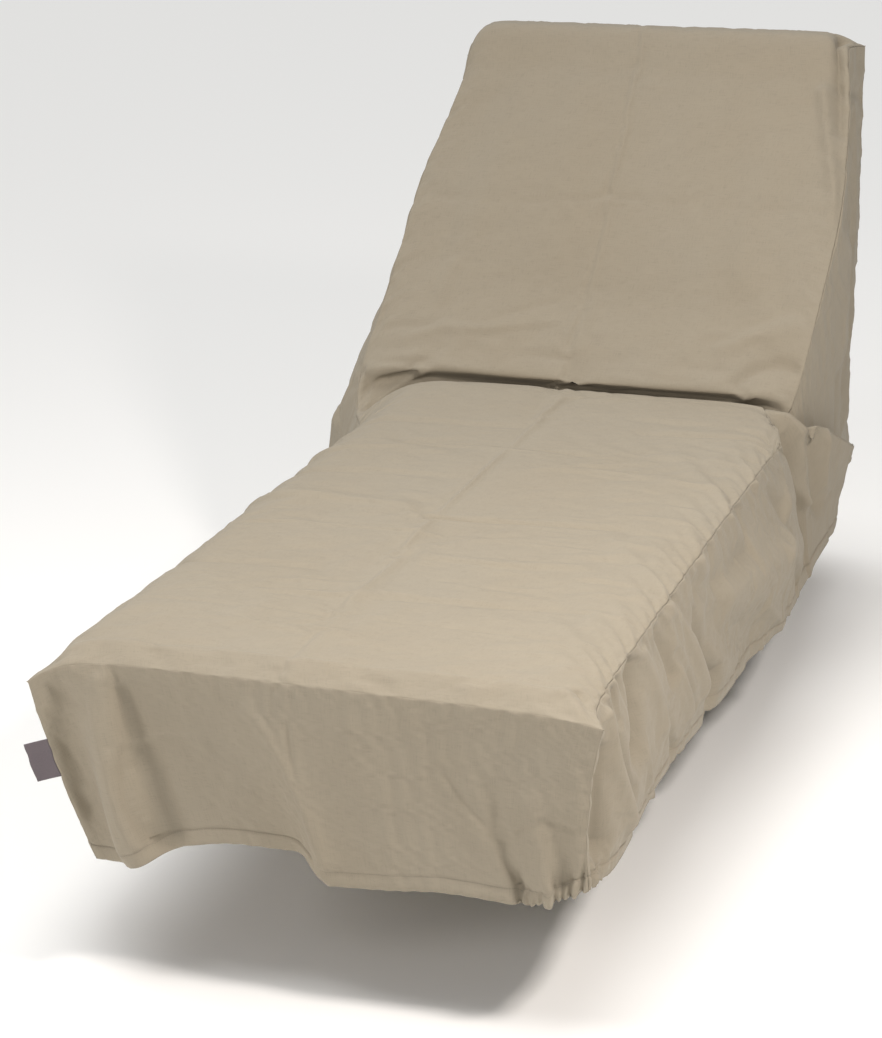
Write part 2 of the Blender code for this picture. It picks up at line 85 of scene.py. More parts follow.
# %% Studio
FLOOR_Z = -0.453                 # the ground under the cover
FLOOR_HALF = 14.0
FLOOR_COLOUR, FLOOR_ROUGHNESS = (0.93, 0.93, 0.92, 1.0), 0.9
WORLD_COLOUR, WORLD_STRENGTH = (1.0, 0.99, 0.97, 1.0), 0.26
BLUE_LOSS = 1.8                  # a warm lamp loses this much more blue than green
LAMP_COLUMNS = ("kind", "warmth", "from_x", "from_y", "from_z", "strength", "size")
LAMPS = {                        # size in degrees for a sun, in metres for a softbox
    "daylight":   ("SUN", 0.00, -0.30, 0.30, 1.00, 1.85, 60),
    "overhead":   ("AREA", 0.01, -0.30, -1.00, 1.90, 11.0, 0.9),
    "right":      ("AREA", 0.07, 1.40, -0.85, 1.50, 35.0, 0.3),
    "front_left": ("AREA", 0.06, -2.30, -2.20, 0.80, 22.0, 0.6),
    "front":      ("AREA", 0.06, 0.40, -3.40, 0.90, 13.0, 1.0),
}
AIM = np.array((0.0, 0.0, -0.1))
bpy.context.scene.view_settings.view_transform = "Standard"

world = bpy.data.worlds.new("studio")
world.use_nodes = True
world.node_tree.nodes["Background"].inputs["Color"].default_value = WORLD_COLOUR
world.node_tree.nodes["Background"].inputs["Strength"].default_value = WORLD_STRENGTH
bpy.context.scene.world = world


def unit(vectors):
    """Vectors along the last axis, made one long."""
    return vectors / np.linalg.norm(vectors, axis=-1, keepdims=True)


def soft_lamp(name, row):
    """Lamp at its place, with its +Z axis pointing away from AIM, since it shines along -Z."""
    wanted = dict(zip(LAMP_COLUMNS, row))
    lamp = bpy.data.objects.new(name, bpy.data.lights.new(name, wanted["kind"]))
    lamp.data.energy = wanted["strength"]
    lamp.data.color = (1.0, 1.0 - wanted["warmth"], 1.0 - BLUE_LOSS * wanted["warmth"])
    if wanted["kind"] == "SUN":
        lamp.data.angle = np.radians(wanted["size"])
    else:
        lamp.data.size = wanted["size"]
    place = np.array([wanted["from_" + axis] for axis in "xyz"])
    source = unit(place - AIM)
    side = unit(np.cross((0.0, 1.0, 0.0), source))
    turned = np.eye(4)
    turned[:3, 0], turned[:3, 1], turned[:3, 2] = side, np.cross(source, side), source
    turned[:3, 3] = place
    lamp.matrix_world = Matrix(turned.tolist())
    bpy.context.scene.collection.objects.link(lamp)


for name, row in LAMPS.items():
    soft_lamp(name, row)

floor_mesh = bpy.data.meshes.new("floor")
floor_mesh.from_pydata([(x * FLOOR_HALF, y * FLOOR_HALF, FLOOR_Z)
                        for x, y in ((-1, -1), (1, -1), (1, 1), (-1, 1))], [], [(0, 1, 2, 3)])
floor = bpy.data.objects.new("floor", floor_mesh)
paint = bpy.data.materials.new("pale_floor")
paint.use_nodes = True
paint.node_tree.nodes["Principled BSDF"].inputs["Base Color"].default_value = FLOOR_COLOUR
paint.node_tree.nodes["Principled BSDF"].inputs["Roughness"].default_value = FLOOR_ROUGHNESS
floor_mesh.materials.append(paint)
bpy.context.scene.collection.objects.link(floor)
print("studio:", len(LAMPS), "lamps, a white world and a floor at", FLOOR_Z)

# %% [markdown]
# A cover is drawn by the lines a maker would chalk on it. Here those lines are rails: smooth
# curves that run along the cover through named sections. The tables measure x from the middle,
# y from the foot edge and z from the ground up, and ORIGIN is the point of the seat where the
# CAD frame has its zero.
#
# The top panel has three rails: its middle and its two seams. It goes from the foot seam over
# the rounded foot edge, along the seat, into the deep groove in front of the back, round the
# loose roll of cloth above it, up the back and over its top edge. "cells" says how fine the
# grid is up to the next section, and the turns say how late the cloth turns down at its seams.

# %% Rails of the top panel
ORIGIN = np.array((0.0, 0.66, 0.453))
TOP_COLUMNS = ("cells", "left_turn", "right_turn", "mid_y", "mid_z",
               "left_x", "left_y", "left_z", "right_x", "right_y", "right_z")
TOP_SECTIONS = {
    "foot seam":     (14, 8, 8, -0.046, 0.440, -0.400, -0.050, 0.402, 0.380, -0.038, 0.425),
    "foot edge":     (22, 9, 9, -0.012, 0.466, -0.394, 0.010, 0.402, 0.358, 0.010, 0.432),
    "foot of seat":  (70, 11, 11, 0.060, 0.463, -0.391, 0.080, 0.400, 0.352, 0.065, 0.434),
    "low seat":      (120, 11, 11, 0.300, 0.457, -0.390, 0.300, 0.398, 0.346, 0.300, 0.435),
    "middle seat":   (108, 11, 11, 0.720, 0.454, -0.389, 0.720, 0.396, 0.336, 0.720, 0.435),
    "high seat":     (46, 11, 11, 1.100, 0.449, -0.390, 1.050, 0.394, 0.331, 1.060, 0.434),
    "seat end":      (30, 10, 11, 1.272, 0.449, -0.402, 1.170, 0.392, 0.332, 1.138, 0.434),
    "groove lip":    (12, 7.5, 11, 1.310, 0.446, -0.424, 1.220, 0.388, 0.270, 1.286, 0.447),
    "groove bottom": (9, 8, 11, 1.338, 0.384, -0.444, 1.262, 0.386, 0.283, 1.310, 0.412),
    "roll under":    (6, 8, 11, 1.344, 0.440, -0.454, 1.292, 0.392, 0.297, 1.318, 0.424),
    "roll nose":     (9, 9, 11, 1.323, 0.458, -0.462, 1.320, 0.420, 0.307, 1.330, 0.440),
    "roll top":      (18, 12, 12, 1.354, 0.492, -0.462, 1.350, 0.456, 0.314, 1.355, 0.474),
    "low back":      (26, 14, 14, 1.438, 0.586, -0.446, 1.428, 0.562, 0.324, 1.425, 0.565),
    "middle back":   (28, 16, 16, 1.556, 0.742, -0.428, 1.556, 0.728, 0.336, 1.555, 0.728),
    "high back":     (14, 18, 18, 1.690, 0.918, -0.389, 1.692, 0.898, 0.318, 1.694, 0.900),
    "back edge":     (9, 22, 22, 1.751, 0.992, -0.384, 1.752, 0.958, 0.302, 1.762, 0.968),
    "behind edge":   (12, 20, 20, 1.790, 0.990, -0.402, 1.800, 0.938, 0.303, 1.806, 0.964),
    "rear seam":     (0, 12, 12, 1.862, 0.962, -0.436, 1.860, 0.912, 0.309, 1.860, 0.957),
}
print("top panel:", len(TOP_SECTIONS), "sections")

# %% [markdown]
# A side panel hangs from its seam with the top. Going down from the seam, its rails are the
# tuck, which is the bottom of the fold behind the rim, the rim of the flap that the loose cloth
# makes beside the groove, the belly and the hem. A drop is measured down from the seam, a z
# above the ground, and a shift is how far the rim or hem lies nearer the head end than the
# seam above it.

# %% Rails of the side panels
SIDE_COLUMNS = ("seam_y", "tuck_x", "tuck_drop", "rim_x", "rim_drop",
                "rim_shift", "belly_x", "belly_z", "hem_x", "hem_z", "hem_shift")
RIGHT_SIDE = {
    "foot corner":  (-0.038, 0.368, 0.045, 0.363, 0.090, 0.000, 0.358, 0.270, 0.360, 0.205, 0.000),
    "foot":         (0.065, 0.362, 0.048, 0.368, 0.085, 0.000, 0.374, 0.260, 0.366, 0.196, 0.000),
    "low seat":     (0.300, 0.352, 0.048, 0.358, 0.080, 0.000, 0.366, 0.270, 0.356, 0.204, 0.000),
    "middle seat":  (0.720, 0.344, 0.048, 0.352, 0.080, 0.000, 0.364, 0.260, 0.352, 0.176, 0.000),
    "high seat":    (1.060, 0.342, 0.048, 0.352, 0.090, 0.030, 0.372, 0.255, 0.362, 0.168, 0.000),
    "pleat edge":   (1.138, 0.333, 0.040, 0.347, 0.112, 0.062, 0.362, 0.250, 0.360, 0.166, 0.040),
    "pleat hollow": (1.164, 0.298, 0.034, 0.298, 0.118, 0.044, 0.328, 0.250, 0.356, 0.168, 0.030),
    "pocket":       (1.258, 0.296, 0.046, 0.300, 0.110, 0.016, 0.326, 0.250, 0.356, 0.170, 0.000),
    "rim start":    (1.286, 0.310, 0.006, 0.340, 0.030, 0.008, 0.344, 0.262, 0.358, 0.172, -0.020),
    "behind rim":   (1.320, 0.318, 0.022, 0.352, 0.012, 0.004, 0.348, 0.270, 0.358, 0.178, -0.036),
    "under back":   (1.355, 0.326, 0.086, 0.364, 0.074, 0.000, 0.352, 0.272, 0.358, 0.182, -0.044),
    "flap ridge":   (1.420, 0.336, 0.216, 0.376, 0.192, 0.000, 0.362, 0.275, 0.360, 0.188, -0.050),
    "flap corner":  (1.490, 0.346, 0.340, 0.383, 0.312, 0.000, 0.366, 0.270, 0.360, 0.194, -0.060),
    "behind flap":  (1.600, 0.334, 0.490, 0.340, 0.500, 0.000, 0.336, 0.260, 0.338, 0.190, -0.030),
    "rear side":    (1.740, 0.312, 0.420, 0.308, 0.610, 0.000, 0.312, 0.280, 0.318, 0.190, 0.000),
    "rear corner":  (1.860, 0.308, 0.330, 0.296, 0.480, 0.000, 0.294, 0.350, 0.302, 0.190, 0.000),
}
LEFT_SIDE = {
    "foot corner":  (-0.050, -0.386, 0.050, -0.374, 0.090, 0.000, -0.352, 0.250, -0.314, 0.160, 0.000),
    "foot":         (0.080, -0.396, 0.044, -0.402, 0.080, 0.000, -0.404, 0.250, -0.398, 0.186, 0.000),
    "low seat":     (0.300, -0.396, 0.040, -0.401, 0.075, 0.000, -0.405, 0.260, -0.398, 0.196, 0.000),
    "middle seat":  (0.720, -0.394, 0.040, -0.398, 0.075, 0.000, -0.403, 0.255, -0.396, 0.184, 0.000),
    "high seat":    (1.050, -0.398, 0.040, -0.404, 0.075, 0.000, -0.412, 0.250, -0.408, 0.176, 0.000),
    "seat end":     (1.170, -0.412, 0.040, -0.420, 0.075, 0.000, -0.432, 0.250, -0.428, 0.176, 0.000),
    "pocket":       (1.262, -0.456, 0.038, -0.466, 0.070, 0.000, -0.476, 0.250, -0.462, 0.180, -0.010),
    "under back":   (1.350, -0.498, 0.060, -0.512, 0.090, 0.000, -0.522, 0.260, -0.492, 0.184, -0.020),
    "flap ridge":   (1.428, -0.496, 0.110, -0.520, 0.190, 0.000, -0.530, 0.270, -0.500, 0.188, -0.030),
    "flap corner":  (1.510, -0.470, 0.180, -0.502, 0.330, 0.000, -0.516, 0.270, -0.492, 0.190, -0.030),
    "behind flap":  (1.600, -0.446, 0.260, -0.472, 0.440, 0.000, -0.492, 0.270, -0.474, 0.190, -0.020),
    "rear side":    (1.740, -0.412, 0.300, -0.430, 0.500, 0.000, -0.452, 0.280, -0.450, 0.190, 0.000),
    "rear corner":  (1.860, -0.434, 0.300, -0.430, 0.440, 0.000, -0.432, 0.330, -0.440, 0.190, 0.000),
}
RAILS_DOWN = np.array((0.0, 0.25, 0.41, 0.70, 1.0))     # seam, tuck, rim, belly, hem
print("side panels:", len(RIGHT_SIDE), "and", len(LEFT_SIDE), "sections")

# %% [markdown]
# The two end panels hang between the corner edges of the side panels. Their tables say what
# the cloth does on its way across: how far it stands out halfway down and at
# its hem, and how much the hem rises above the straight line between its corners.

# %% Rails of the end panels
END_COLUMNS = ("across", "half_out", "hem_out", "hem_rise")
FOOT_PANEL = {
    "left corner":   (0.00, 0.000, 0.000, 0.000),
    "left hollow":   (0.05, -0.006, -0.004, -0.004),
    "left ridge":    (0.11, 0.018, 0.028, 0.006),
    "beside ridge":  (0.19, -0.010, 0.002, 0.026),
    "left middle":   (0.29, -0.010, -0.004, 0.032),
    "middle":        (0.41, 0.000, -0.004, 0.024),
    "middle fold":   (0.50, 0.004, 0.006, -0.014),
    "right middle":  (0.70, 0.004, 0.010, -0.010),
    "gathers":       (0.90, 0.004, 0.004, -0.024),
    "right corner":  (1.00, 0.000, 0.000, 0.000),
}
BACK_PANEL = {
    "left corner":   (0.00, 0.000, 0.000, 0.000),
    "left fold":     (0.16, 0.012, 0.030, -0.006),
    "left middle":   (0.34, -0.006, 0.002, 0.004),
    "middle":        (0.52, 0.004, 0.026, -0.004),
    "right middle":  (0.68, -0.006, 0.002, 0.004),
    "right fold":    (0.85, 0.010, 0.024, -0.006),
    "right corner":  (1.00, 0.000, 0.000, 0.000),
}
print("end panels:", len(FOOT_PANEL), "and", len(BACK_PANEL), "sections")

# %% [markdown]
# Cloth has no corners of its own, so a rail is a curve that passes through its values without
# swinging past them. A monotone cubic does that: flat at every peak, and elsewhere with a
# slope between those of its two neighbours.

# %% Smooth rails
def column(table, columns, name):
    """One named column of a table, as an array."""
    return np.array([row[columns.index(name)] for row in table.values()], dtype=float)


def smooth(known_at, known, wanted_at):
    """Curve through known values that never swings past them.

    known may hold many curves, one for each of its last axis's places. The slope at a value is
    the weighted harmonic mean of the slopes on its two sides, or zero where they point
    opposite ways, and a cubic Hermite curve joins the values.
    """
    known = np.asarray(known, dtype=float)
    wide = (-1,) + (1,) * (known.ndim - 1)
    step = np.diff(known_at).reshape(wide)
    rise = np.diff(known, axis=0) / step
    before, after = rise[:-1], rise[1:]
    w_before, w_after = 2 * step[1:] + step[:-1], step[1:] + 2 * step[:-1]
    same_way = before * after > 0
    mean = (w_before + w_after) / (w_before / np.where(same_way, before, 1.0)
                                   + w_after / np.where(same_way, after, 1.0))
    slope = np.concatenate((rise[:1], np.where(same_way, mean, 0.0), rise[-1:]))
    i = np.clip(np.searchsorted(known_at, wanted_at, side="right") - 1, 0, len(step) - 1)
    h = step[i]
    t = ((wanted_at - known_at[i]).reshape(wide)) / h
    return ((1 + 2 * t) * (1 - t) ** 2 * known[i] + t * (1 - t) ** 2 * h * slope[i]
            + t * t * (3 - 2 * t) * known[i + 1] + t * t * (t - 1) * h * slope[i + 1])


def eased(share):
    """Share from 0 to 1 that starts and ends level: 3 s^2 - 2 s^3, and flat outside."""
    share = np.clip(share, 0.0, 1.0)
    return share * share * (3 - 2 * share)


print("a rail from 0 to 1 is halfway at", float(smooth(np.array((0., 1.)), (0., 1.), np.array([.5]))[0]))

# %% [markdown]
# Each panel is now a function of two parameters on a grid. The grid is closer where the cloth
# changes fast. Beside a seam there are rows less than a millimetre apart, for the groove that
# the stitching pulls, and along the hem there are rows on both sides of its stitches. To get
# them, a curve is first worked out finely and then respaced: its points slide along it to the
# distances that are wanted.

# %% Respacing
SEAM_STEPS = (0.0007, 0.0018, 0.0040)                       # from a seam
HEM_STEPS = (0.0240, 0.0222, 0.0210, 0.0198, 0.0180, 0.0120, 0.0060, 0.0015)    # from the hem
HEM_STITCH = 0.0210
CELLS_ACROSS = 84
CELLS_DOWN = 84
FINE_CELLS = 300
CREASE_AT, CREASE_NEAR, CREASE_CLOSER = 0.465, 0.022, 3.0   # closer columns at the middle crease
SEAM_NEAR, SEAM_CLOSER = 0.05, 2.5                          # and beside both seams


def distances(points, axis):
    """How far each grid point is from the first and from the last edge along one grid axis."""
    steps = np.linalg.norm(np.diff(points, axis=axis), axis=2)
    start = np.zeros_like(np.take(steps, [0], axis=axis))
    from_first = np.concatenate((start, np.cumsum(steps, axis=axis)), axis=axis)
    return from_first, np.take(from_first, [-1], axis=axis) - from_first


def respaced(curves, wanted):
    """Points at the wanted distances from the start of each curve, on its straight pieces."""
    far = distances(curves, 1)[0]
    i = np.clip((far[:, None, :] <= wanted[:, :, None]).sum(axis=2) - 1, 0, far.shape[1] - 2)
    before, after = np.take_along_axis(far, i, 1), np.take_along_axis(far, i + 1, 1)
    share = np.clip((wanted - before) / (after - before), 0, 1)[..., None]
    start, end = (np.take_along_axis(curves, k[..., None], 1) for k in (i, i + 1))
    return start * (1 - share) + end * share


def spread_out(length, cells, first, last, closeness=np.ones_like):
    """Distances along curves of given lengths: fixed steps at both ends, and between them steps
    that are shorter where closeness, a function of the share from 0 to 1, is higher."""
    first, last = (np.broadcast_to(steps, (len(length), len(steps))) for steps in (first, last))
    fine = np.linspace(0.0, 1.0, FINE_CELLS + 1)
    passed = np.concatenate(([0.0], np.cumsum(closeness(fine)[1:] + closeness(fine)[:-1])))
    inner_cells = cells - first.shape[1] - last.shape[1]
    share = np.interp(np.linspace(0.0, passed[-1], inner_cells + 1), passed, fine)
    inner_start, inner_end = first[:, -1:], length[:, None] - last[:, :1]
    inner = inner_start + (inner_end - inner_start) * share
    zero = np.zeros((len(length), 1))
    return np.hstack([zero, first[:, :-1], inner, length[:, None] - last[:, 1:], zero + length[:, None]])


def across_closeness(share):
    """How close the columns are at a share of the width: 1, and SEAM_CLOSER more at both seams
    and CREASE_CLOSER more at the middle crease, which fall off by exp(-distance / SEAM_NEAR)
    and by exp(-(distance / CREASE_NEAR)^2)."""
    at_seams = np.exp(-share / SEAM_NEAR) + np.exp(-(1 - share) / SEAM_NEAR)
    at_crease = np.exp(-((share - CREASE_AT) / CREASE_NEAR) ** 2)
    return 1 + SEAM_CLOSER * at_seams + CREASE_CLOSER * at_crease


example = spread_out(np.array([0.4]), CELLS_DOWN, SEAM_STEPS, HEM_STEPS)
print("a column of 0.4 m has", example.shape[1], "points, the widest step is",
      round(float(np.diff(example).max()) * 1000, 1), "mm")

# %% [markdown]
# With the rails and the spacing known, each kind of panel is one function. Beside the groove
# the loose cloth lies in pressed edges instead of rounds. There the curves are mixed with
# straight pieces between the same values.

# %% Shapes of the five panels
CRISP = 0.95                     # straight share of the curves beside the groove
GROOVE_Y, GROOVE_HALF, GROOVE_FADE = 1.29, 0.18, 0.04
LIP_AT, LIP_HALF, LIP_FADE = 1.40, 0.13, 0.03    # the same stretch, along the middle of the top
TURNED = ("left", "back")        # panels whose grids run the other way round


def bent(known_at, known, wanted_at, straight):
    """Smooth curves and straight pieces through known values, mixed by the straight share."""
    known = np.asarray(known, dtype=float).reshape(len(known_at), -1)
    i = np.clip(np.searchsorted(known_at, wanted_at, side="right") - 1, 0, len(known_at) - 2)
    share = ((wanted_at - known_at[i]) / (known_at[i + 1] - known_at[i]))[:, None]
    pieces = known[i] * (1 - share) + known[i + 1] * share
    return smooth(known_at, known, wanted_at) * (1 - straight) + pieces * straight


def beside_groove(y):
    """Weight that is 1 where the side panels make the flap, and 0 elsewhere."""
    return 1 - eased((np.abs(y - GROOVE_Y) - GROOVE_HALF) / GROOVE_FADE)


def top_shape():
    """Grid [along, across] of the top panel, and the way along its middle of each row.

    The rails run smoothly through the sections. Across, t goes from -1 at the left seam to 1
    at the right one, and a point moves from the middle rail to the seam by |t|^turn.
    """
    col = {name: column(TOP_SECTIONS, TOP_COLUMNS, name) for name in TOP_COLUMNS}
    chord = np.hypot(np.diff(col["mid_y"]), np.diff(col["mid_z"]))
    section_at = np.concatenate(([0.0], np.cumsum(chord)))
    even = np.interp(np.arange(col["cells"].sum() + 1),
                     np.concatenate(([0.0], np.cumsum(col["cells"][:-1]))), section_at)
    seams = np.array(SEAM_STEPS[:2])
    along = np.sort(np.concatenate((even, seams, even[-1] - seams)))
    straight = CRISP * (1 - eased((np.abs(along - LIP_AT) - LIP_HALF) / LIP_FADE))[:, None]
    rail = {name: bent(section_at, col[name], along, 0.0 if "mid" in name else straight)
            for name in TOP_COLUMNS[1:]}
    t = np.linspace(-1.0, 1.0, FINE_CELLS + 1)
    right_share = (1 + t) / 2
    turn = np.abs(t) ** np.where(t < 0, rail["left_turn"], rail["right_turn"])
    x = rail["left_x"] * (1 - right_share) + rail["right_x"] * right_share
    edge_y = np.where(t < 0, rail["left_y"], rail["right_y"])
    edge_z = np.where(t < 0, rail["left_z"], rail["right_z"])
    fine = np.stack([x, rail["mid_y"] * (1 - turn) + edge_y * turn,
                     rail["mid_z"] * (1 - turn) + edge_z * turn], axis=2)
    width = distances(fine, 1)[0][:, -1]
    wanted = spread_out(width, CELLS_ACROSS, SEAM_STEPS, SEAM_STEPS[::-1], across_closeness)
    return respaced(fine, wanted), along


def side_shape(table, seam):
    """Grid [along, down] of a side panel, and how far down each column has its rim.

    Each column runs from its seam point through tuck, rim and belly to the hem: smoothly, but
    beside the groove mostly in straight pieces, so that the flap has a pressed edge there.
    """
    col = {name: column(table, SIDE_COLUMNS, name) for name in SIDE_COLUMNS}
    crisp = CRISP * beside_groove(seam[:, 1])
    at = {name: bent(col["seam_y"], col[name], seam[:, 1], crisp[:, None])[:, 0]
          for name in SIDE_COLUMNS[1:]}
    down = np.linspace(0.0, 1.0, FINE_CELLS + 1)
    x = bent(RAILS_DOWN, [seam[:, 0], at["tuck_x"], at["rim_x"], at["belly_x"], at["hem_x"]], down, crisp)
    z = bent(RAILS_DOWN, [seam[:, 2], seam[:, 2] - at["tuck_drop"], seam[:, 2] - at["rim_drop"],
                          at["belly_z"], at["hem_z"]], down, crisp)
    shift = smooth(RAILS_DOWN[[0, 2, 4]], [0 * at["rim_shift"], at["rim_shift"], at["hem_shift"]], down)
    fine = np.stack([x.T, (seam[:, 1] + shift).T, z.T], axis=2)
    far = distances(fine, 1)[0]
    rim_at = far[:, int(RAILS_DOWN[2] * FINE_CELLS)]
    return respaced(fine, spread_out(far[:, -1], CELLS_DOWN, SEAM_STEPS, HEM_STEPS)), rim_at[:, None]


def end_shape(table, seam, left, right, away):
    """Grid [across, down] of an end panel, between the corner edges of the side panels.

    Straight rows join the corners. The seam's own shape fades out towards the hem while
    hem_rise comes in, and the cloth moves outwards along y.
    """
    col = {name: column(table, END_COLUMNS, name) for name in END_COLUMNS}
    across = (seam[:, 0] - seam[0, 0]) / (seam[-1, 0] - seam[0, 0])
    at = {name: smooth(col["across"], col[name], across)[:, None] for name in END_COLUMNS[1:]}
    share = across[:, None, None]
    down = (distances(left[None], 1)[0] + distances(right[None], 1)[0])[0]
    down /= down[-1]
    grid = left[None] * (1 - share) + right[None] * share
    grid += (seam[:, None] - grid[:, :1]) * (1 - down)[:, None]
    grid[..., 2] += at["hem_rise"] * down
    half, hem = 4 * down * (1 - down), down * (2 * down - 1)
    grid[..., 1] += away * (at["half_out"] * half + at["hem_out"] * hem)
    return grid


top, top_along = top_shape()
right, right_rim = side_shape(RIGHT_SIDE, top[:, -1])
left, left_rim = side_shape(LEFT_SIDE, top[:, 0])
grids = {"top": top, "right": right, "left": left,
         "foot": end_shape(FOOT_PANEL, top[0], left[0], right[0], away=-1),
         "back": end_shape(BACK_PANEL, top[-1], left[-1], right[-1], away=1)}
rims = {"right": right_rim, "left": left_rim}
print("grids:", {name: grid.shape[:2] for name, grid in grids.items()})

# %% [markdown]
# A fold is a line on the cloth with a height. The tables give each one from where, by way of
# which point and to where it runs, its half width and its rise at both ends, and a power that
# says how sharp it is: 2 is a soft swell or hollow, 1.2 a pressed crease. Places are in the
# panel's own plane, (x, way along the middle) on the top, (y, z) on the sides and (x, z) on
# the foot panel, and a rise is measured out of the cover, so it is negative for a trough.

# %% Folds of the top panel
FOLD_COLUMNS = ("from_a", "from_b", "via_a", "via_b", "to_a", "to_b",
                "from_width", "to_width", "from_rise", "to_rise", "power")
TOP_FOLDS = {
    "left end of groove":   (-.446, 1.510, -.404, 1.500, -.366, 1.508, .014, .012, -.013, -.010, 1.7),
    "left groove ridge":    (-.414, 1.466, -.380, 1.486, -.340, 1.512, .008, .009, .007, .005, 1.5),
    "over left hollow":     (-.446, 1.532, -.392, 1.524, -.338, 1.515, .008, .008, .005, .004, 1.6),
    "right end of groove":  (.212, 1.540, .255, 1.576, .310, 1.584, .012, .020, -.009, -.012, 1.6),
    "over right end":       (.176, 1.600, .240, 1.638, .290, 1.664, .018, .022, .005, .006, 1.8),
    "right lobe":           (.224, 1.508, .262, 1.530, .296, 1.520, .012, .014, .003, .003, 1.8),
    "right edge of back":   (.274, 2.090, .304, 1.965, .335, 1.846, .011, .015, .015, .009, 1.6),
    "right top corner":     (.286, 2.230, .298, 2.130, .318, 2.020, .011, .012, -.020, -.010, 1.7),
    "left of back":         (-.330, 2.030, -.350, 1.890, -.360, 1.750, .040, .040, -.006, -.006, 2.0),
    "hollow in low back":   (-.200, 1.690, .000, 1.670, .180, 1.680, .060, .060, -.006, -.006, 2.0),
    "foot end of seat":     (-.300, .080, .000, .070, .250, .090, .050, .050, -.004, -.004, 2.0),
    "low seat hollow":      (-.250, .420, .000, .410, .200, .360, .070, .070, -.005, -.005, 2.0),
    "high seat swell":      (-.200, .900, .000, .890, .200, .860, .080, .080, .004, .004, 2.0),
}
CREASES = {                      # pressed in while the cover lay folded in its packing
    "middle of back":       (-.062, 2.207, -.067, 1.910, -.073, 1.530, .0060, .0060, .0019, .0019, 1.0),
    "middle of high seat":  (-.075, 1.400, -.064, 1.100, -.058, .800, .0062, .0062, .0004, .0005, 1.0),
    "middle of low seat":   (-.058, .800, -.050, .450, -.026, .030, .0062, .0062, .0005, .0004, 1.0),
    "left across back":     (-.400, 1.858, -.230, 1.852, -.071, 1.874, .0060, .0060, -.0018, -.0019, 1.0),
    "right across back":    (-.071, 1.874, .090, 1.860, .300, 1.866, .0060, .0060, -.0019, -.0015, 1.0),
    "across high back":     (-.330, 2.080, -.100, 2.088, .240, 2.076, .0060, .0060, .0008, .0009, 1.1),
    "across high seat":     (-.340, 1.010, -.060, 1.004, .300, 1.016, .0062, .0062, -.0008, -.0008, 1.0),
    "across low seat":      (-.350, .560, -.060, .566, .300, .552, .0062, .0062, .0007, .0008, 1.0),
    "across foot of seat":  (-.350, .200, -.040, .206, .320, .200, .0062, .0062, -.0006, -.0006, 1.0),
}
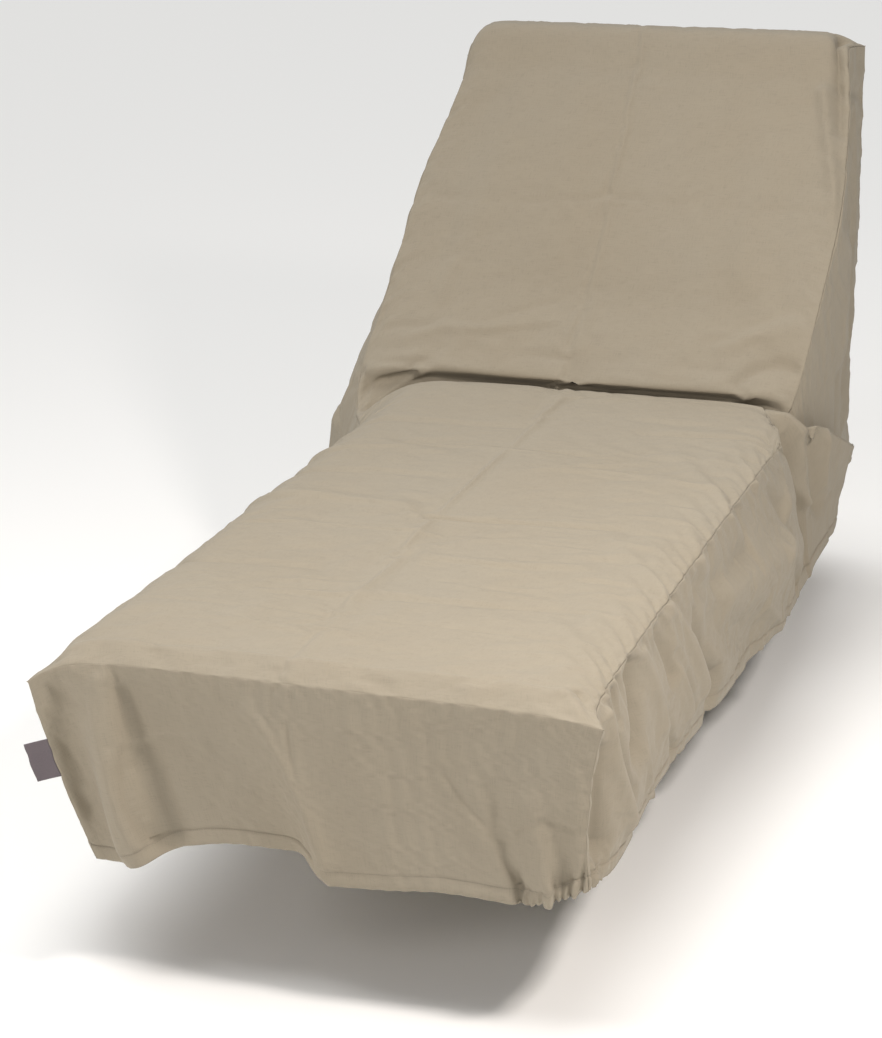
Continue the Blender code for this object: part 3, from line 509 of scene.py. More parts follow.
SOFT_WRINKLES = {
    "low back left":        (-.330, 1.600, -.230, 1.609, -.130, 1.630, .010, .012, .0029, .002, 1.7),
    "low back small":       (-.233, 1.630, -.180, 1.652, -.126, 1.670, .008, .010, -.0021, -.0016, 1.7),
    "low back right":       (.200, 1.640, .240, 1.655, .290, 1.680, .014, .018, -.003, -.004, 2.0),
    "back left slack":      (-.340, 1.670, -.330, 1.750, -.300, 1.820, .018, .026, .0029, .002, 2.0),
    "back right slack":     (.260, 1.690, .240, 1.790, .250, 1.910, .024, .030, -.0030, -.0030, 2.0),
    "back right swell":     (.190, 1.730, .180, 1.830, .200, 1.970, .030, .034, .0045, .0045, 2.0),
    "near seam 1":          (.341, .398, .312, .412, .260, .404, .007, .012, -.0034, -.0013, 1.7),
    "near seam 2":          (.345, .438, .303, .412, .226, .380, .008, .014, .0037, .0019, 1.7),
    "near seam 3":          (.340, .500, .300, .533, .200, .520, .008, .014, -.0041, -.0019, 1.7),
    "near seam 4":          (.340, .565, .308, .592, .220, .600, .008, .014, .0041, .0022, 1.7),
    "near seam 5":          (.337, .629, .297, .660, .231, .648, .008, .013, -.0044, -.0022, 1.7),
    "near seam 6":          (.337, .699, .296, .724, .200, .720, .008, .014, .0041, .0016, 1.7),
    "near seam 7":          (.334, .780, .290, .800, .180, .786, .008, .014, -.0041, -.0019, 1.7),
    "near seam 8":          (.334, .880, .306, .893, .230, .888, .007, .012, .0037, .0016, 1.7),
    "near seam 9":          (.333, .965, .300, .978, .220, .966, .007, .012, -.0041, -.0016, 1.7),
    "near seam 10":         (.331, 1.020, .280, 1.040, .170, 1.028, .008, .014, .0034, .0019, 1.7),
    "near seam 11":         (.331, 1.103, .295, 1.086, .200, 1.120, .008, .014, -.0047, -.0022, 1.7),
    "near seam 12":         (.329, 1.190, .282, 1.171, .150, 1.178, .008, .014, .0041, .0016, 1.7),
    "seat end right":       (.300, 1.230, .200, 1.214, .080, 1.222, .012, .018, -.005, -.0021, 2.0),
    "high seat right":      (.114, 1.148, .210, 1.160, .307, 1.194, .010, .012, -.0034, -.0055, 1.7),
    "high seat left":       (-.340, 1.130, -.220, 1.118, -.080, 1.130, .012, .018, -.0046, -.0025, 2.0),
    "left slack 1":         (-.370, .960, -.280, .948, -.160, .952, .012, .018, .0046, .0021, 2.0),
    "left slack 2":         (-.370, .840, -.260, .822, -.060, .834, .012, .018, -.0046, -.0029, 2.0),
    "left slack 3":         (-.370, .690, -.260, .676, -.120, .682, .012, .018, .0042, .0021, 2.0),
    "left slack 4":         (-.370, .400, -.280, .388, -.140, .396, .014, .020, -.0046, -.0021, 2.0),
    "middle slack 1":       (-.060, .640, .080, .652, .219, .667, .012, .014, -.0029, -.0042, 2.0),
    "middle slack 2":       (-.020, .480, .090, .474, .210, .489, .012, .014, .0029, .0038, 2.0),
    "middle slack 3":       (.020, .900, .110, .912, .220, .906, .012, .016, .0029, .0034, 2.0),
    "middle slack 4":       (.000, .300, .120, .310, .260, .330, .014, .018, -.0029, -.0038, 2.0),
    "foot edge left":       (-.340, .060, -.250, .052, -.150, .060, .018, .020, -.0042, -.0021, 2.0),
    "corner crease":        (.332, .056, .356, .030, .374, .000, .006, .007, -.0084, -.0063, 1.3),
    "beside corner crease": (.318, .046, .340, .022, .358, -.004, .009, .010, .0055, .0042, 1.7),
}

# %% Folds of the side panels
RIGHT_FOLDS = {
    "behind corner seam":   (.002, .370, -.002, .310, .004, .250, .018, .022, -.0145, -.0232, 2.0),
    "ridge from corner":    (.036, .416, .046, .340, .090, .250, .014, .022, .0116, .0145, 1.9),
    "beside ridge":         (.070, .400, .090, .340, .128, .270, .012, .014, -.0058, -.0072, 1.8),
    "first trough":         (.178, .424, .190, .380, .168, .325, .020, .028, -.0200, -.0320, 2.2),
    "small trough":         (.098, .424, .096, .410, .100, .380, .007, .009, -.0090, -.0050, 2.0),
    "third trough":         (.330, .420, .352, .385, .372, .340, .014, .018, -.0150, -.0120, 2.0),
    "lower trough":         (.395, .360, .430, .310, .462, .250, .010, .014, -.0060, -.0100, 2.0),
    "ridge between":        (.246, .420, .268, .370, .290, .300, .018, .024, .0070, .0100, 2.0),
    "wide swell":           (.380, .420, .400, .350, .440, .270, .018, .028, .0058, .0116, 2.0),
    "steep hollow":         (.530, .350, .566, .285, .610, .222, .024, .034, -.0160, -.0340, 2.2),
    "beside hollow":        (.440, .400, .476, .340, .520, .270, .016, .024, .0070, .0110, 2.0),
    "long hollow":          (.620, .330, .740, .270, .860, .215, .040, .045, -.0145, -.0145, 2.0),
    "long swell":           (.700, .330, .860, .306, 1.020, .290, .036, .042, .0159, .0159, 2.0),
    "over swell":           (.560, .400, .680, .370, .840, .362, .016, .020, -.0072, -.0087, 2.0),
    "hollow before pleat":  (1.030, .390, 1.062, .350, 1.070, .300, .018, .026, -.0087, -.0116, 2.0),
    "slack before pleat":   (1.120, .400, 1.096, .340, 1.002, .300, .012, .018, .0087, .0087, 1.8),
    "near flap ridge":      (1.262, .408, 1.272, .350, 1.290, .290, .006, .009, .0130, .0110, 1.4),
    "far flap ridge":       (1.352, .398, 1.356, .345, 1.366, .300, .008, .014, .0120, .0060, 1.6),
    "between flap ridges":  (1.312, .400, 1.324, .340, 1.336, .280, .014, .022, -.0174, -.0145, 1.8),
    "pleat mouth":          (1.196, .420, 1.206, .350, 1.200, .290, .012, .016, -.0090, -.0060, 1.8),
    "hem tuck 1":           (.110, .270, .132, .240, .160, .208, .009, .010, -.0043, -.0072, 1.8),
    "hem tuck 2":           (.200, .300, .224, .250, .262, .205, .010, .012, .0030, .0030, 1.8),
    "hem tuck 3":           (.325, .290, .346, .260, .376, .225, .010, .014, -.0058, -.0087, 1.8),
    "hem tuck 4":           (.900, .250, .950, .220, 1.010, .185, .016, .020, .0058, .0087, 2.0),
    "hem tuck 5":           (1.050, .278, 1.110, .240, 1.167, .190, .014, .018, -.0087, -.0116, 2.0),
    "under rear edge":      (1.715, .928, 1.690, .880, 1.680, .830, .026, .034, -.0145, -.0145, 2.0),
    "gusset hollow":        (1.670, .820, 1.665, .760, 1.650, .700, .030, .036, -.0174, -.0174, 2.0),
    "gusset swell":         (1.600, .640, 1.590, .570, 1.580, .500, .050, .050, .0116, .0116, 2.0),
    "rear drop 1":          (1.770, .860, 1.760, .620, 1.742, .320, .024, .034, .0087, .013, 2.0),
    "rear drop 2":          (1.690, .620, 1.680, .460, 1.668, .260, .024, .034, -.0101, -.0145, 2.0),
    "rear drop 3":          (1.560, .430, 1.556, .330, 1.548, .230, .022, .030, -.0087, -.0116, 2.0),
}
LEFT_FOLDS = {
    "low hollow":           (.220, .380, .250, .300, .280, .220, .022, .036, -.005, -.010, 2.0),
    "first swell":          (.330, .384, .362, .300, .390, .220, .020, .032, .004, .008, 2.0),
    "middle hollow":        (.540, .384, .600, .290, .660, .210, .024, .040, -.005, -.011, 2.0),
    "middle swell":         (.740, .370, .840, .300, .920, .220, .030, .040, .005, .009, 2.0),
    "high hollow":          (.960, .384, 1.010, .300, 1.050, .210, .022, .034, -.005, -.009, 2.0),
    "pocket hollow":        (1.210, .372, 1.220, .300, 1.232, .210, .020, .030, -.007, -.009, 2.0),
    "flap ridge":           (1.360, .420, 1.355, .320, 1.350, .230, .030, .036, .010, .010, 2.0),
    "behind ridge":         (1.470, .520, 1.475, .400, 1.480, .250, .034, .042, -.010, -.010, 2.0),
    "gusset swell":         (1.620, .720, 1.610, .560, 1.600, .400, .044, .050, .008, .008, 2.0),
    "rear drop 1":          (1.700, .880, 1.700, .600, 1.690, .260, .024, .036, -.007, -.010, 2.0),
    "rear drop 2":          (1.782, .860, 1.780, .600, 1.776, .300, .022, .032, .006, .009, 2.0),
}

# %% Folds of the foot panel and the back panel
FOOT_FOLDS = {
    "left corner hollow":   (-.352, .392, -.346, .310, -.330, .230, .016, .022, -.005, -.007, 1.9),
    "left ridge":           (-.296, .436, -.288, .330, -.262, .192, .014, .026, .006, .012, 1.8),
    "beside ridge":         (-.264, .400, -.238, .290, -.208, .206, .010, .025, -.0060, -.0160, 2.0),
    "arc":                  (-.250, .330, -.200, .346, -.160, .340, .010, .012, .0020, .0010, 1.7),
    "beside arc":           (-.230, .400, -.190, .330, -.170, .270, .030, .034, -.003, -.002, 2.0),
    "middle ridge":         (-.090, .398, -.035, .318, .008, .200, .012, .018, .0030, .0080, 1.5),
    "beside middle ridge":  (-.120, .340, -.070, .280, -.030, .200, .026, .032, -.004, -.006, 2.0),
    "right of middle":      (.060, .380, .080, .300, .110, .200, .034, .044, .003, .004, 2.0),
    "left of gathers":      (.236, .330, .252, .262, .276, .190, .011, .011, -.003, -.009, 1.7),
    "gathered ridge":       (.286, .318, .300, .262, .306, .206, .014, .014, .003, .007, 1.9),
    "gathered hollow":      (.318, .276, .326, .250, .330, .214, .020, .016, -.004, -.009, 1.9),
    "corner facet":         (.348, .360, .350, .300, .352, .240, .010, .010, .0030, .0040, 1.6),
    "pressed fold":         (.136, .418, .140, .320, .150, .195, .009, .009, .0009, .0009, 1.0),
    "pressed middle":       (-.032, .436, -.030, .330, -.024, .200, .009, .009, -.0009, -.0009, 1.0),
}
BACK_FOLDS = {
    "left drop":            (-.300, .900, -.312, .600, -.300, .220, .024, .040, .003, .010, 2.0),
    "left hollow":          (-.190, .880, -.200, .560, -.180, .210, .030, .050, -.002, -.010, 2.0),
    "middle drop":          (-.020, .900, -.050, .560, -.020, .210, .026, .050, .002, .012, 2.0),
    "right hollow":         (.080, .860, .090, .560, .070, .210, .026, .044, -.002, -.009, 2.0),
    "right drop":           (.200, .900, .210, .600, .190, .220, .024, .044, .003, .011, 2.0),
    "across":               (-.360, .590, -.060, .584, .240, .596, .012, .012, .0010, .0010, 1.0),
    "middle":               (-.062, .940, -.062, .560, -.060, .200, .012, .012, .0012, .0012, 1.0),
}
FOLD_STEPS = 10                  # straight pieces that stand for a fold's curve
SEAM_FADE = 0.022                # from a seam to where the folds have their full rise
RIM_FADE, RIM_LEAD = 0.030, 0.3  # below the rim of the flap, and the share of it above the rim


def relief(a, b, folds):
    """Sum of the folds over a grid of places (a, b).

    A fold's curve is the parabola through its three points, taken in straight pieces. At a
    distance d from it the cloth rises by rise * exp(-(d / width)^power).
    """
    height = np.zeros(np.broadcast(a, b).shape)
    share = np.linspace(0.0, 1.0, FOLD_STEPS + 1)
    for row in folds.values():
        fold = dict(zip(FOLD_COLUMNS, row))
        weights = ((1 - share) * (1 - 2 * share), 4 * share * (1 - share), share * (2 * share - 1))
        line_a, line_b = (sum(weight * fold[point + axis] for weight, point
                              in zip(weights, ("from_", "via_", "to_"))) for axis in "ab")
        nearest = np.full(height.shape, np.inf)
        at = np.zeros(height.shape)
        for i in range(FOLD_STEPS):
            step_a, step_b = line_a[i + 1] - line_a[i], line_b[i + 1] - line_b[i]
            on = np.clip(((a - line_a[i]) * step_a + (b - line_b[i]) * step_b)
                         / (step_a ** 2 + step_b ** 2), 0, 1)
            away = np.hypot(a - line_a[i] - on * step_a, b - line_b[i] - on * step_b)
            at = np.where(away < nearest, (i + on) / FOLD_STEPS, at)
            nearest = np.minimum(nearest, away)
        width = fold["from_width"] * (1 - at) + fold["to_width"] * at
        rise = fold["from_rise"] * (1 - at) + fold["to_rise"] * at
        height += rise * np.exp(-(nearest / width) ** fold["power"])
    return height


def seam_fade(points, free_hem):
    """Weight that rises smoothly from 0 on the seams to 1 at SEAM_FADE away from them."""
    edges = [*distances(points, 0), *distances(points, 1)]
    if free_hem:
        edges.pop()
    return eased(np.minimum.reduce(edges) / SEAM_FADE)


def under_rim(points, rim_at):
    """Weight that is 0 between the seam and the rim of the flap, where the cloth is drawn
    tight, and 1 below the rim and everywhere away from the groove."""
    above = 1 - eased((distances(points, 1)[0] - rim_at) / RIM_FADE + RIM_LEAD)
    return 1 - above * beside_groove(points[:, :1, 1])


def outward(points, turned):
    """Unit normals of a grid, out of the cover."""
    normals = unit(np.cross(np.gradient(points, axis=1), np.gradient(points, axis=0)))
    return -normals if turned else normals


print("folds:", len(TOP_FOLDS), len(RIGHT_FOLDS), len(LEFT_FOLDS), len(FOOT_FOLDS), len(BACK_FOLDS))

# %% [markdown]
# Sewing pulls the cloth together a little, and unevenly, so a seam is a chain of small puckers:
# short wrinkles that cross it and die out on both sides. Both panels share them on the seam,
# which keeps it closed, and each lets them run on at its own slant. Beside the seat they run
# off towards the raised end, most of all on the right.

# %% Puckers along the seams
PUCKER_COLUMNS = ("seed", "start", "end", "every", "height", "width",
                  "reach_first", "slant_first", "reach_second", "slant_second")
PUCKERS = {                      # first is the top panel, or the end panel at a corner
    "right seat":   (11, 0.06, 1.16, .060, 0.0070, .0115, 0.048, 1.40, 0.060, 0.70),
    "right fine":   (12, 0.05, 1.18, .026, 0.0036, .0058, 0.030, 1.00, 0.044, 0.40),
    "right back":   (13, 1.56, 2.22, .036, 0.0016, .0080, 0.037, 0.10, 0.050, 0.20),
    "left seat":    (14, 0.05, 1.30, .028, 0.0027, .0070, 0.037, 0.50, 0.050, 0.00),
    "left back":    (15, 1.50, 2.22, .032, 0.0016, .0080, 0.043, 0.20, 0.050, 0.20),
    "foot":         (16, 0.03, 0.76, .034, 0.0012, .0080, 0.030, 0.10, 0.037, 0.00),
    "rear":         (17, 0.03, 0.70, .034, 0.0017, .0080, 0.030, 0.00, 0.043, 0.00),
    "right corner": (18, 0.02, 0.24, .024, 0.0017, .0060, 0.025, 0.00, 0.025, 0.00),
    "left corner":  (19, 0.02, 0.22, .024, 0.0017, .0060, 0.025, 0.00, 0.025, 0.00),
    "right rear":   (20, 0.02, 0.74, .030, 0.0020, .0070, 0.030, 0.00, 0.030, 0.00),
    "left rear":    (21, 0.02, 0.70, .030, 0.0020, .0070, 0.030, 0.00, 0.030, 0.00),
}
SPACING_RANGE, HEIGHT_RANGE = (0.5, 1.6), (0.3, 1.3)         # shares of the values in the table
WIDTH_RANGE, REACH_RANGE, SLANT_SPREAD = (0.7, 1.4), (0.5, 1.6), 0.16
ON_SEAM = 0.45                   # share of a pucker's height that is left on the seam itself
OFF_SEAM = 0.009                 # from the seam to where a pucker is highest
GROOVE_DEPTH, GROOVE_WIDTH = 0.0022, 0.0013
FOOT_SEAM_SHARE = 0.4            # the foot seam is drawn in less
END_CLEAR, GROOVE_CLEAR = 0.012, 0.002       # both die out this far from the end of a seam
TWICE_AS_WIDE = 0.05             # from the seam to where a pucker has twice its width
EDGES = {"first": (0, 0), "last": (0, -1), "left": (1, 0), "right": (1, -1)}    # axis and place


def puckers(name, along, away, length, second):
    """Heights of one chain of puckers at distances along a seam and away from it.

    Each pucker is height * exp(-(offset / width)^2) across itself and exp(-(away / reach)^1.5)
    along itself, and its middle shifts along the seam by slant * away.
    """
    row = dict(zip(PUCKER_COLUMNS, PUCKERS[name]))
    random = np.random.default_rng(row["seed"])
    enough = int(3 * (row["end"] - row["start"]) / row["every"])
    places = row["start"] + np.cumsum(row["every"] * random.uniform(*SPACING_RANGE, enough))
    places = places[places < row["end"]]
    count = len(places)
    one_in_three_up = np.where(np.arange(count) % 3, -1, 1)
    heights = row["height"] * random.uniform(*HEIGHT_RANGE, count) * one_in_three_up
    widths = row["width"] * random.uniform(*WIDTH_RANGE, count)
    for panel in ("first", "second") if second else ("first",):    # the second draws after the first
        reaches = random.uniform(*REACH_RANGE, count) * row["reach_" + panel]
        slants = random.normal(row["slant_" + panel], SLANT_SPREAD, count)
    total = np.zeros(along.shape)
    for place, height, width, reach, slant in zip(places, heights, widths, reaches, slants):
        off = (along - place - slant * away) / (width * (1 + away / TWICE_AS_WIDE))
        total += height * np.exp(-off ** 2 - (away / reach) ** 1.5)
    swell = ON_SEAM + (1 - ON_SEAM) * eased(away / OFF_SEAM)
    ends = eased(along / END_CLEAR) * eased((length - along) / END_CLEAR)
    return total * swell * ends


def seam_relief(names, grid, edge, second):
    """Puckers and the stitched groove of one edge of a panel."""
    axis, place = EDGES[edge]
    away = distances(grid, axis)[-place]
    along, rest = distances(np.take(grid, [place], axis=axis), 1 - axis)
    along, length = np.broadcast_to(along, away.shape), np.max(along)
    ends = eased(along / GROOVE_CLEAR) * eased(rest / GROOVE_CLEAR)
    depth = GROOVE_DEPTH * (FOOT_SEAM_SHARE if names[0] == "foot" else 1.0)
    groove = -depth * np.exp(-away / GROOVE_WIDTH) * ends
    return groove + sum(puckers(name, along, away, length, second) for name in names)


print("pucker chains:", len(PUCKERS))

# %% [markdown]
# A short elastic is sewn into the hem at the right foot corner. It gathers the cloth in narrow
# flutes that fan out upwards. Elsewhere the hem is turned up twice and stitched: the rows of
# the grid beside its stitches make the shallow groove, and the turned part is a little fuller.

# %% Gathers and hems
GATHER_COLUMNS = ("place", "width", "depth", "height", "lean")
FOOT_GATHERS = {                 # place is the distance along the hem from the corner seam
    "first":   (.095, .0034, 0.0100, .050, .35),
    "second":  (.086, .0026, 0.0070, .022, .20),
    "third":   (.075, .0028, 0.0060, .018, .15),
    "fourth":  (.067, .0026, 0.0080, .026, .10),
    "swell":   (.057, .0070, -0.005, .040, .10),
    "fifth":   (.048, .0032, 0.0105, .036, .05),
    "sixth":   (.039, .0026, 0.0080, .026, .00),
    "seventh": (.028, .0028, 0.0070, .024, -.10),
    "ridge":   (.021, .0045, -0.004, .030, -.15),
    "eighth":  (.012, .0030, 0.0100, .034, -.20),
}
SIDE_GATHERS = {
    "first":   (.010, .0040, 0.0090, .036, .20),
    "ridge":   (.018, .0050, -0.004, .034, .30),
    "second":  (.027, .0040, 0.0080, .030, .50),
    "third":   (.040, .0045, 0.0060, .026, .60),
}
GATHERED = {"foot": 0.105, "side": 0.050}    # how far along the hem the elastic reaches
GATHERED_FADE, AT_CORNER = 0.010, 0.004      # at the end of the elastic and at the corner seam
PUFF, PUFF_AT, PUFF_HALF = 0.0035, 0.010, 0.008    # the hem swells between its gathers
FLUTE_SPREADS = 0.06             # above the hem, where a flute has twice its width
HEM_GROOVE, HEM_GROOVE_HALF, HEM_FULLNESS, HEM_ROUND = 0.0014, 0.0013, 0.0010, 0.003
HEM_WAVES = (0.017, 0.023, 0.031, 0.047)     # lengths of the unevenness along the hem
HEM_WAVE, HEM_WAVE_HALF = 0.0005, 0.010


def gathers(table, reach, from_corner, above_hem):
    """Flutes of a gathered hem: depth * exp(-((place - from_corner) / width)^2), whose middle
    leans away from the corner on the way up and which die out by exp(-(above / height)^2).
    The hem itself is puffed up between them. On the corner seam all of this is 0."""
    puffed = PUFF * np.exp(-((above_hem - PUFF_AT) / PUFF_HALF) ** 2)
    total = puffed * eased((reach - from_corner) / GATHERED_FADE)
    for row in table.values():
        flute = dict(zip(GATHER_COLUMNS, row))
        width = flute["width"] * (1 + above_hem / FLUTE_SPREADS)
        off = (from_corner - flute["place"] - flute["lean"] * above_hem) / width
        total -= flute["depth"] * np.exp(-off ** 2 - (above_hem / flute["height"]) ** 2)
    return total * eased(from_corner / AT_CORNER)


def hem_relief(grid, seed):
    """Stitched hem: a groove at HEM_STITCH, the turned part fuller, and fine unevenness.

    Waves of the lengths in HEM_WAVES, of random height and phase, run along the hem.
    """
    above = distances(grid, 1)[1]
    along = np.broadcast_to(distances(grid[:, -1:], 0)[0], above.shape)
    random = np.random.default_rng(seed)
    waves = sum(random.uniform(0.3, 1.0) * np.sin(2 * np.pi * along / length + random.uniform(0, 6))
                for length in HEM_WAVES) / 2
    groove = -HEM_GROOVE * np.exp(-((above - HEM_STITCH) / HEM_GROOVE_HALF) ** 2)
    turned_up = HEM_FULLNESS * eased((HEM_STITCH - above) / HEM_ROUND) * eased(above / 0.001 + 0.3)
    uneven = HEM_WAVE * waves * np.exp(-((above - HEM_STITCH) / HEM_WAVE_HALF) ** 2)
    return groove * (1 + 0.3 * waves) + turned_up + uneven


print("gathers:", len(FOOT_GATHERS), "in the foot panel and", len(SIDE_GATHERS), "in the side panel")

# %% [markdown]
# Cloth that has been folded, shaken out and pulled into place is nowhere quite flat. A few
# hundred shallow wrinkles of random place and size do this, most of them across the seat and
# down the hanging panels.

# %% Slack
SLACK_COLUMNS = ("seed", "count", "from_a", "to_a", "from_b", "to_b", "length", "width", "rise", "heading")
SLACK = {                        # heading is the angle of a wrinkle from the first axis, degrees
    "seat":      (31, 74, -.370, .330, .06, 1.28, .130, .0085, .0010, 0),
    "seat wide": (32, 26, -.370, .330, .06, 1.28, .200, .0240, .0022, 4),
    "low back":  (33, 12, -.400, .300, 1.55, 1.80, .110, .0160, .0012, 8),
    "back":      (34, 22, -.380, .300, 1.64, 2.22, .170, .0220, .0010, 96),
    "right":     (35, 46, .020, 1.20, .18, .42, .060, .0080, .0012, 112),
    "right low": (36, 30, .020, 1.20, .17, .30, .045, .0070, .0011, 118),
    "rear right": (37, 26, 1.20, 1.84, .20, .60, .090, .0120, .0012, 96),
    "gusset":    (38, 22, 1.45, 1.84, .50, .94, .110, .0130, .0010, 70),
    "left":      (39, 50, .020, 1.20, .18, .40, .070, .0090, .0014, 66),
    "rear left": (40, 40, 1.20, 1.84, .20, .90, .100, .0130, .0020, 86),
    "foot":      (41, 30, -.360, .240, .20, .42, .080, .0140, .0010, 84),
    "foot fine": (42, 14, .160, .350, .20, .36, .050, .0090, .0008, 105),
    "behind":    (43, 44, -.420, .300, .20, .94, .150, .0200, .0020, 90),
}


LENGTH_RANGE, BREADTH_RANGE = (0.4, 1.2), (0.7, 1.5)         # shares of the values in the table
HEADING_SPREAD, BOW_SPREAD, RISE_SPREAD = 12, 0.16, 0.9      # in degrees, and shares again
END_WIDTH, END_RISE, SLACK_POWER = 1.2, 0.4, 1.9             # a wrinkle fades towards one end


def slack(name):
    """Table of random shallow folds, in the columns of the fold tables."""
    row = dict(zip(SLACK_COLUMNS, SLACK[name]))
    random = np.random.default_rng(row["seed"])
    folds = {}
    for i in range(row["count"]):
        a, b = (random.uniform(row["from_" + axis], row["to_" + axis]) for axis in "ab")
        heading = np.radians(random.normal(row["heading"], HEADING_SPREAD))
        half = row["length"] * random.uniform(*LENGTH_RANGE) / 2
        step_a, step_b = half * np.cos(heading), half * np.sin(heading)
        bow = random.normal(0, BOW_SPREAD)
        width = row["width"] * random.uniform(*BREADTH_RANGE)
        rise = row["rise"] * random.normal(0, RISE_SPREAD)
        folds[i] = (a - step_a, b - step_b, a - bow * step_b, b + bow * step_a, a + step_a, b + step_b,
                    width, width * END_WIDTH, rise, rise * END_RISE, SLACK_POWER)
    return folds


print("slack:", sum(row[1] for row in SLACK.values()), "wrinkles")

# %% [markdown]
# All of this comes together as one height for every point of a panel. Folds and wrinkles fade
# out towards the seams, and beside the groove they fade out above the rim of the flap too.
# Puckers, the groove of the stitching and the hem are added to what is left.

# %% Folded panels
RIGHT_SEAM, LEFT_SEAM = ("right seat", "right fine", "right back"), ("left seat", "left back")
RELIEF_COLUMNS = ("folds", "slack", "puckers", "hem_seed")
RELIEF = {
    "top":   ((TOP_FOLDS, CREASES, SOFT_WRINKLES), ("seat", "seat wide", "low back", "back"),
              {"right": RIGHT_SEAM, "left": LEFT_SEAM, "first": ("foot",), "last": ("rear",)}, None),
    "right": ((RIGHT_FOLDS,), ("right", "right low", "rear right", "gusset"),
              {"left": RIGHT_SEAM, "first": ("right corner",), "last": ("right rear",)}, 51),
    "left":  ((LEFT_FOLDS,), ("left", "rear left"),
              {"left": LEFT_SEAM, "first": ("left corner",), "last": ("left rear",)}, 52),
    "foot":  ((FOOT_FOLDS,), ("foot", "foot fine"),
              {"left": ("foot",), "first": ("left corner",), "last": ("right corner",)}, 53),
    "back":  ((BACK_FOLDS,), ("behind",),
              {"left": ("rear",), "first": ("left rear",), "last": ("right rear",)}, 54),
}


def fold_places(name, grid):
    """The two coordinates of a panel's points in which its folds are placed."""
    if name == "top":
        return grid[..., 0], top_along[:, None]
    return grid[..., 1 if name in rims else 0], grid[..., 2]


def height_of(name, grid):
    """Height of each point of a panel out of its plain shape."""
    row = dict(zip(RELIEF_COLUMNS, RELIEF[name]))
    tables = [*row["folds"], *(slack(part) for part in row["slack"])]
    height = sum(relief(*fold_places(name, grid), table) for table in tables)
    height = height * seam_fade(grid, free_hem=name != "top")
    if name in rims:
        height = height * under_rim(grid, rims[name])
    for edge, names in row["puckers"].items():
        second = name in rims or (name != "top" and edge == "left")
        height = height + seam_relief(names, grid, edge, second)
    return height if name == "top" else height + hem_relief(grid, row["hem_seed"])


heights = {name: height_of(name, grid) for name, grid in grids.items()}
print("highest and deepest on the right side:",
      [round(float(value) * 1000, 1) for value in (heights["right"].max(), heights["right"].min())], "mm")

# %% [markdown]
# The heights move the cloth along its normals. On a seam the two panels have slightly different
# ones, so both take the same average there and turn to their own within a centimetre.

# %% Raised panels
SHARE_NORMALS = 0.010            # from a seam to where a panel has its own normals
SEAMS = (("top", "right", "right", "left"), ("top", "left", "left", "left"),
         ("top", "first", "foot", "left"), ("top", "last", "back", "left"),
         ("foot", "last", "right", "first"), ("foot", "first", "left", "first"),
         ("back", "last", "right", "last"), ("back", "first", "left", "last"))


def on_edge(edge):
    """Index of all points of one edge of a grid."""
    axis, place = EDGES[edge]
    return (slice(None),) * axis + (place,)


normals = {name: outward(grid, name in TURNED) for name, grid in grids.items()}
turned_normals = {name: normal.copy() for name, normal in normals.items()}
for one, one_edge, other, other_edge in SEAMS:
    shared = unit(normals[one][on_edge(one_edge)] + normals[other][on_edge(other_edge)])
    for name, edge in ((one, one_edge), (other, other_edge)):
        axis, place = EDGES[edge]
        weight = 1 - eased(distances(grids[name], axis)[-place] / SHARE_NORMALS)
        turned_normals[name] += (np.expand_dims(shared, axis) - normals[name]) * weight[..., None]
panels = {name: grid + unit(turned_normals[name]) * heights[name][..., None]
          for name, grid in grids.items()}
for one, one_edge, other, other_edge in SEAMS:
    one_side, other_side = panels[one][on_edge(one_edge)], panels[other][on_edge(other_edge)]
    gap = np.linalg.norm(one_side - other_side, axis=-1)
    print(f"seam {one}-{other}: at most {gap.max() * 1000:.2f} mm open before it is closed")
    middle = (one_side + other_side) / 2
    panels[one][on_edge(one_edge)] = panels[other][on_edge(other_edge)] = middle

# %% [markdown]
# What is drawn so far is what can be seen and named. Real cloth also has a great many small
# buckles, each one there because its neighbours push it. That is work for Blender's cloth
# solver. The five panels are welded into one coarse mesh and made a little too large for their
# shape, while every point is held near its place by a soft pin. The surplus has to buckle, and
# the buckles find their own places. Then the coarse movement is spread over the fine grids.

# %% Settling
SETTLE_STEP = 0.0085             # cells of the coarse mesh
SETTLE_STEP_DOWN = SETTLE_STEP * 0.8     # and of the hanging panels, from seam to hem
SETTLE_FRAMES = 12
SURPLUS = 0.012                  # how much longer the cloth is than its shape
HOLD = {"top": 0.17, "right": 0.18, "left": 0.22, "foot": 0.80, "back": 0.34}    # pin weights
HOLD_SEAM = 1.0
HOLD_RAISED = 0.45               # the raised back is drawn smoother than the seat
RAISED_FROM = 1.62               # way along the middle of the top panel
MOST_MOVED = 0.010               # a point that went further is brought back to this
SOLVER_SETTINGS = {
    "quality": 5, "mass": 0.02, "tension_stiffness": 20.0, "compression_stiffness": 20.0,
    "shear_stiffness": 8.0, "bending_stiffness": 0.06, "vertex_group_mass": "held",
    "pin_stiffness": 0.6, "shrink_min": -SURPLUS,
}


def picked(grid, axis, step):
    """Indices of rows or columns that are about one step apart, always with both ends."""
    mean_far = distances(grid, axis)[0].mean(axis=1 - axis)
    return np.unique(np.append(np.searchsorted(mean_far, np.arange(0, mean_far[-1], step)),
                               len(mean_far) - 1))


def spread_back(moved, rows, columns, shape):
    """Movement known on some rows and columns, made smooth and full over the whole grid."""
    full_rows = smooth(rows.astype(float), moved, np.arange(shape[0], dtype=float))
    full = smooth(columns.astype(float), full_rows.swapaxes(0, 1), np.arange(shape[1], dtype=float))
    return full.swapaxes(0, 1)


